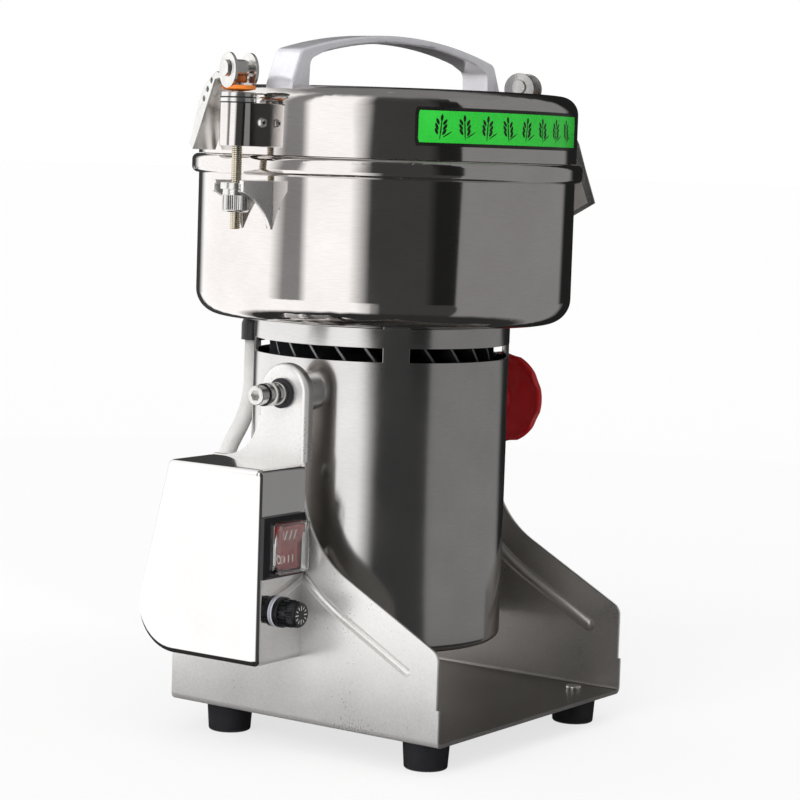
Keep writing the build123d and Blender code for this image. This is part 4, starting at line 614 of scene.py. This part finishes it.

# %% [markdown]
# ## Motor lead
# The lead leaves the head and goes through a grommet in the stand's left plate into the box. When the
# head tips, the lead must bend between the two. A copy of its solid is cut into many short lengths in the
# gap beside the plate, and the copy stands in for the solid, which is hidden.

# %%
STAND_END, HEAD_END = mm(-86.5), mm(-66.5)
CUTS = 41
lead_mesh = nodes["motor_lead"].data.copy()
shaped = bmesh.new()
shaped.from_mesh(lead_mesh)
bmesh.ops.remove_doubles(shaped, verts=shaped.verts, dist=1e-6)
for cut in np.linspace(STAND_END, HEAD_END, CUTS):
    everything = [*shaped.verts, *shaped.edges, *shaped.faces]
    bmesh.ops.bisect_plane(shaped, geom=everything, plane_co=(cut, 0, 0), plane_no=(1, 0, 0), dist=1e-7)
shaped.to_mesh(lead_mesh)
shaped.free()
lead_mesh.polygons.foreach_set("use_smooth", np.full(len(lead_mesh.polygons), True))
lead = bpy.data.objects.new("lead_sheath", lead_mesh)
bpy.context.scene.collection.objects.link(lead)
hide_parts("motor_lead")
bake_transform(lead)
print("lead:", len(lead_mesh.polygons), "faces")

# %% [markdown]
# ## Lid label
# A printed plate, green on a black ground, bent round the lid. It is laid out flat first, as length and
# height, and then wrapped on the lid's wall: the angle is the length over the radius. The row of marks
# on it is a plain grain ornament.

# %%
LID_WALL = mm(99.1)
LABEL_MIDDLE = radians(-90 - 13.7)


def wrap(length, height, lift):
    """Flat label coordinates to the lid's wall: angle = middle + length / radius."""
    angle = LABEL_MIDDLE + length / LID_WALL
    radius = LID_WALL + lift
    return np.stack([radius * np.cos(angle), radius * np.sin(angle), height], -1)


def plate_grid(half_length, low, high, corner, lift, rows=9, columns=90):
    """Plate with round corners: each row is as long as the corner's circle leaves it at its height."""
    v = np.linspace(-1, 1, rows)
    half_height = (high - low) / 2
    past = np.maximum(0, np.abs(v) * half_height - (half_height - corner))
    reach = half_length - corner + np.sqrt(np.maximum(corner**2 - past**2, 0))
    u = np.linspace(-1, 1, columns)
    length = u[None] * reach[:, None]
    height = np.broadcast_to(((low + high) / 2 + v * half_height)[:, None], length.shape)
    return grid_mesh(wrap(length, height, lift))


def grain_grid(middle, height, half_length, half_width, lean, lift):
    """A grain: an oval fan of points, pointed at its ends, leaning by an angle."""
    t = np.linspace(0, 2 * pi, 17)[:-1]
    share = np.array([0.0, 0.5, 1.0])
    across = half_width * np.sin(t) * np.abs(np.sin(t)) ** 0.4
    up = half_length * np.cos(t)
    x = share[:, None] * across[None]
    y = share[:, None] * up[None]
    turned_x = x * cos(lean) + y * sin(lean)
    turned_y = y * cos(lean) - x * sin(lean)
    return grid_mesh(wrap(middle + turned_x, height + turned_y, lift), around=True)


label_grids = [plate_grid(mm(58.4), mm(306.5), mm(325.5), mm(0.8), mm(0.22))]
label_back = piece("label_back", label_grids, LABEL_BLACK, "lid")
label_green = piece(
    "label_green",
    [plate_grid(mm(56.8), mm(308.2), mm(323.8), mm(0.5), mm(0.28))],
    LABEL_GREEN,
    "lid",
)
KERNELS = [(0.0, 4.4, 0.0), (-1.5, 2.6, -0.5), (1.5, 2.3, 0.5), (-1.7, 0.2, -0.5), (1.7, -0.1, 0.5)]
KERNELS += [(-1.6, -2.2, -0.5), (1.6, -2.5, 0.5)]
marks = []
for k in range(8):
    centre, tip = mm(-45.6 + 12.5 * k), (0.10, -0.06, 0.05, -0.10)[k % 4]
    marks.append(grain_grid(centre, mm(315.0), mm(5.4), mm(0.34), tip, mm(0.33)))
    for across, up, lean in KERNELS:
        shift = mm(across * 1.25 + up * tip)
        marks.append(grain_grid(centre + shift, mm(316.0 + up), mm(1.75), mm(0.72), lean + tip, mm(0.34)))
    marks.append(grain_grid(centre + mm(3.4), mm(312.4), mm(3.0), mm(0.3), 1.0, mm(0.33)))
piece("label_grains", marks, LABEL_BLACK, "lid")

# %% [markdown]
# ## Stage
# The mill stands on a pale table in a white room. The table shows a share of plain white to the camera and
# to reflections, and the rest of it is lit, so it keeps the mill's soft shadow.

# %%
world = bpy.data.worlds.new("studio")
bpy.context.scene.world = world
world.use_nodes = True
world.node_tree.nodes.clear()
ROOM_LIGHT = 0.62
TABLE_GLOW = 0.72


def seen_share(tree, level):
    """level for rays from the camera, from gloss and through glass, and 0 for the light on things."""
    path = add(tree, "LightPath")
    first = add(
        tree,
        "Math",
        {0: path.outputs["Is Camera Ray"], 1: path.outputs["Is Glossy Ray"]},
        operation="MAXIMUM",
    )
    either = add(
        tree, "Math", {0: first.outputs[0], 1: path.outputs["Is Transmission Ray"]}, operation="MAXIMUM"
    )
    return add(tree, "Math", {0: either.outputs[0], 1: level}, operation="MULTIPLY").outputs[0]


room = world.node_tree
plain = add(room, "Background", {"Color": (1, 1, 1, 1), "Strength": ROOM_LIGHT})
bright = add(room, "Background", {"Color": (1, 1, 1, 1), "Strength": 1.0})
mixed = add(
    room, "MixShader", {0: seen_share(room, 1.0), 1: plain.outputs[0], 2: bright.outputs[0]}
)
add(room, "OutputWorld", {"Surface": mixed.outputs[0]})


def table_top(radius, columns=96, rows=24):
    """Round floor: point = radius * share^2 * (cos t, sin t, 0)."""
    t = np.linspace(0, 2 * pi, columns, endpoint=False)
    share = np.linspace(0, 1, rows) ** 2
    flat = radius * share[:, None, None] * np.stack([np.cos(t), np.sin(t)], -1)[None]
    return grid_mesh(np.concatenate([flat, np.zeros((*flat.shape[:2], 1))], -1), around=True)


def stage_piece(name, grid, finish):
    """A piece of the studio: it isn't part of the mill."""
    mesh = bpy.data.meshes.new(name)
    mesh.from_pydata(grid[0].tolist(), [], grid[1].tolist())
    mesh.polygons.foreach_set("use_smooth", np.full(len(mesh.polygons), True))
    mesh.materials.append(finish)
    made = bpy.data.objects.new(name, mesh)
    bpy.context.scene.collection.objects.link(made)
    return made


floor_paint, floor_tree, floor_shader = material("white_table")
floor_shader.inputs["Base Color"].default_value = linear("#fbfbfb")
floor_shader.inputs["Roughness"].default_value = 0.9
floor_glow = add(floor_tree, "Emission", {"Color": (1, 1, 1, 1), "Strength": 1.0})
floor_mix = add(
    floor_tree,
    "MixShader",
    {0: seen_share(floor_tree, TABLE_GLOW), 1: floor_shader.outputs["BSDF"], 2: floor_glow.outputs[0]},
)
floor_out = next(n for n in floor_tree.nodes if n.type == "OUTPUT_MATERIAL")
floor_tree.links.new(floor_mix.outputs[0], floor_out.inputs["Surface"])
stage_piece("table_top", table_top(40.0), floor_paint)
print("world:", world.name, "- room light", ROOM_LIGHT)

# %% [markdown]
# ## Cards
# Polished steel has no colour of its own: it shows what stands round it. So a round wall of white, grey and
# black cards, which only reflections see, draws the broad bands down the bowl and the tube. It is one
# surface with its light as a colour at each point: a low ring just over the table, the wall, and a ceiling.
# There are four plain tones of card. Each row goes round the room in degrees from the camera's side, and
# where two neighbours differ, the gap between their angles is the soft edge of a card.

# %%
CARD_START = radians(214.7)
WHITE, GREY, DARK, BLACK = 1.2, 0.25, 0.05, 0.015
UPPER_CARDS = [
    (-180, DARK), (-150, DARK), (-140, WHITE), (-70, WHITE), (-60, GREY), (-50, GREY), (-45, WHITE),
    (-20, WHITE), (-8, DARK), (24, DARK), (30, BLACK), (43, BLACK), (44, GREY), (130, GREY), (136, BLACK),
    (180, BLACK),
]
LOWER_CARDS = [
    (-180, DARK), (-150, DARK), (-145, WHITE), (-16, WHITE), (-2, DARK), (43, DARK), (44, GREY),
    (134, GREY), (142, BLACK), (180, BLACK),
]
# rows of the surface: radius, height, share of the upper cards, share of plain light, and its level
CARD_ROWS = [
    (0.02, 0.0008, 0, 1.0, 0.03), (0.24, 0.0008, 0, 1.0, 0.03), (0.31, 0.0008, 0, 0.0, 0.03),
    (0.7, 0.0008, 0, 0.0, 0.0), (1.3, 0.0008, 0, 0.0, 0.0), (1.3, 0.07, 0, 0.0, 0.0),
    (1.3, 0.13, 1, 0.0, 0.0), (1.3, 1.0, 1, 0.0, 0.22), (1.3, 1.75, 1, 0.15, 0.22),
    (1.3, 1.9, 1, 0.5, 0.22), (0.8, 1.9, 1, 1.0, 0.22), (0.02, 1.9, 1, 1.0, 0.22),
]


def card_room(columns=1441):
    """Surface of revolution round the mill, and its light: a mix of both rows of cards and plain light."""
    angle = np.linspace(-180, 180, columns)
    t = CARD_START + np.radians(angle)
    radius, height, upper, plain_share, level = np.array(CARD_ROWS).T[..., None]
    x, y = radius * np.cos(t), radius * np.sin(t)
    high = np.interp(angle, *zip(*UPPER_CARDS))
    low = np.interp(angle, *zip(*LOWER_CARDS))
    bands = upper * high + (1 - upper) * low
    light = bands * (1 - plain_share) + level * plain_share
    return grid_mesh(np.stack([x, y, np.broadcast_to(height, x.shape)], -1)), light


room_grid, room_light = card_room()
card_paint = bpy.data.materials.new("studio_cards")
card_paint.use_nodes = True
card_paint.node_tree.nodes.clear()
card_colour = add(card_paint.node_tree, "VertexColor", layer_name="light")
card_glow = add(card_paint.node_tree, "Emission", {"Color": card_colour.outputs["Color"], "Strength": 1.0})
add(card_paint.node_tree, "OutputMaterial", {"Surface": card_glow.outputs[0]})
cards = stage_piece("studio_cards", room_grid, card_paint)
layer = cards.data.color_attributes.new("light", "FLOAT_COLOR", "POINT")
tints = np.ones((*room_light.shape, 4))
tints[..., :3] = room_light[..., None]
layer.data.foreach_set("color", tints.ravel())
cards.visible_camera = False
cards.visible_diffuse = False
cards.visible_shadow = False
cards.visible_transmission = False
print("cards:", len(cards.data.polygons), "faces")

# %% [markdown]
# ## Lamps
# Two broad lamps give the matt surfaces their shape. Reflections don't show them, as the cards do that.

# %%
def far_lamp(name, place, strength, spread):
    """A lamp so far off that its light is even: it shines from a place towards the mill."""
    data = bpy.data.lights.new(name, "SUN")
    data.energy = strength
    data.angle = radians(spread)
    lamp = bpy.data.objects.new(name, data)
    bpy.context.scene.collection.objects.link(lamp)
    lamp.location = place
    lamp.rotation_euler = (-Vector(place)).to_track_quat("-Z", "Y").to_euler()
    lamp.visible_glossy = False
    return lamp


far_lamp("top_lamp", (-0.5, -0.6, 1.9), 0.45, 40)
far_lamp("left_lamp", (-1.7, -0.2, 0.9), 1.6, 50)
print("lamps:", len(bpy.data.lights))

view = bpy.context.scene.view_settings
view.view_transform = "Standard"
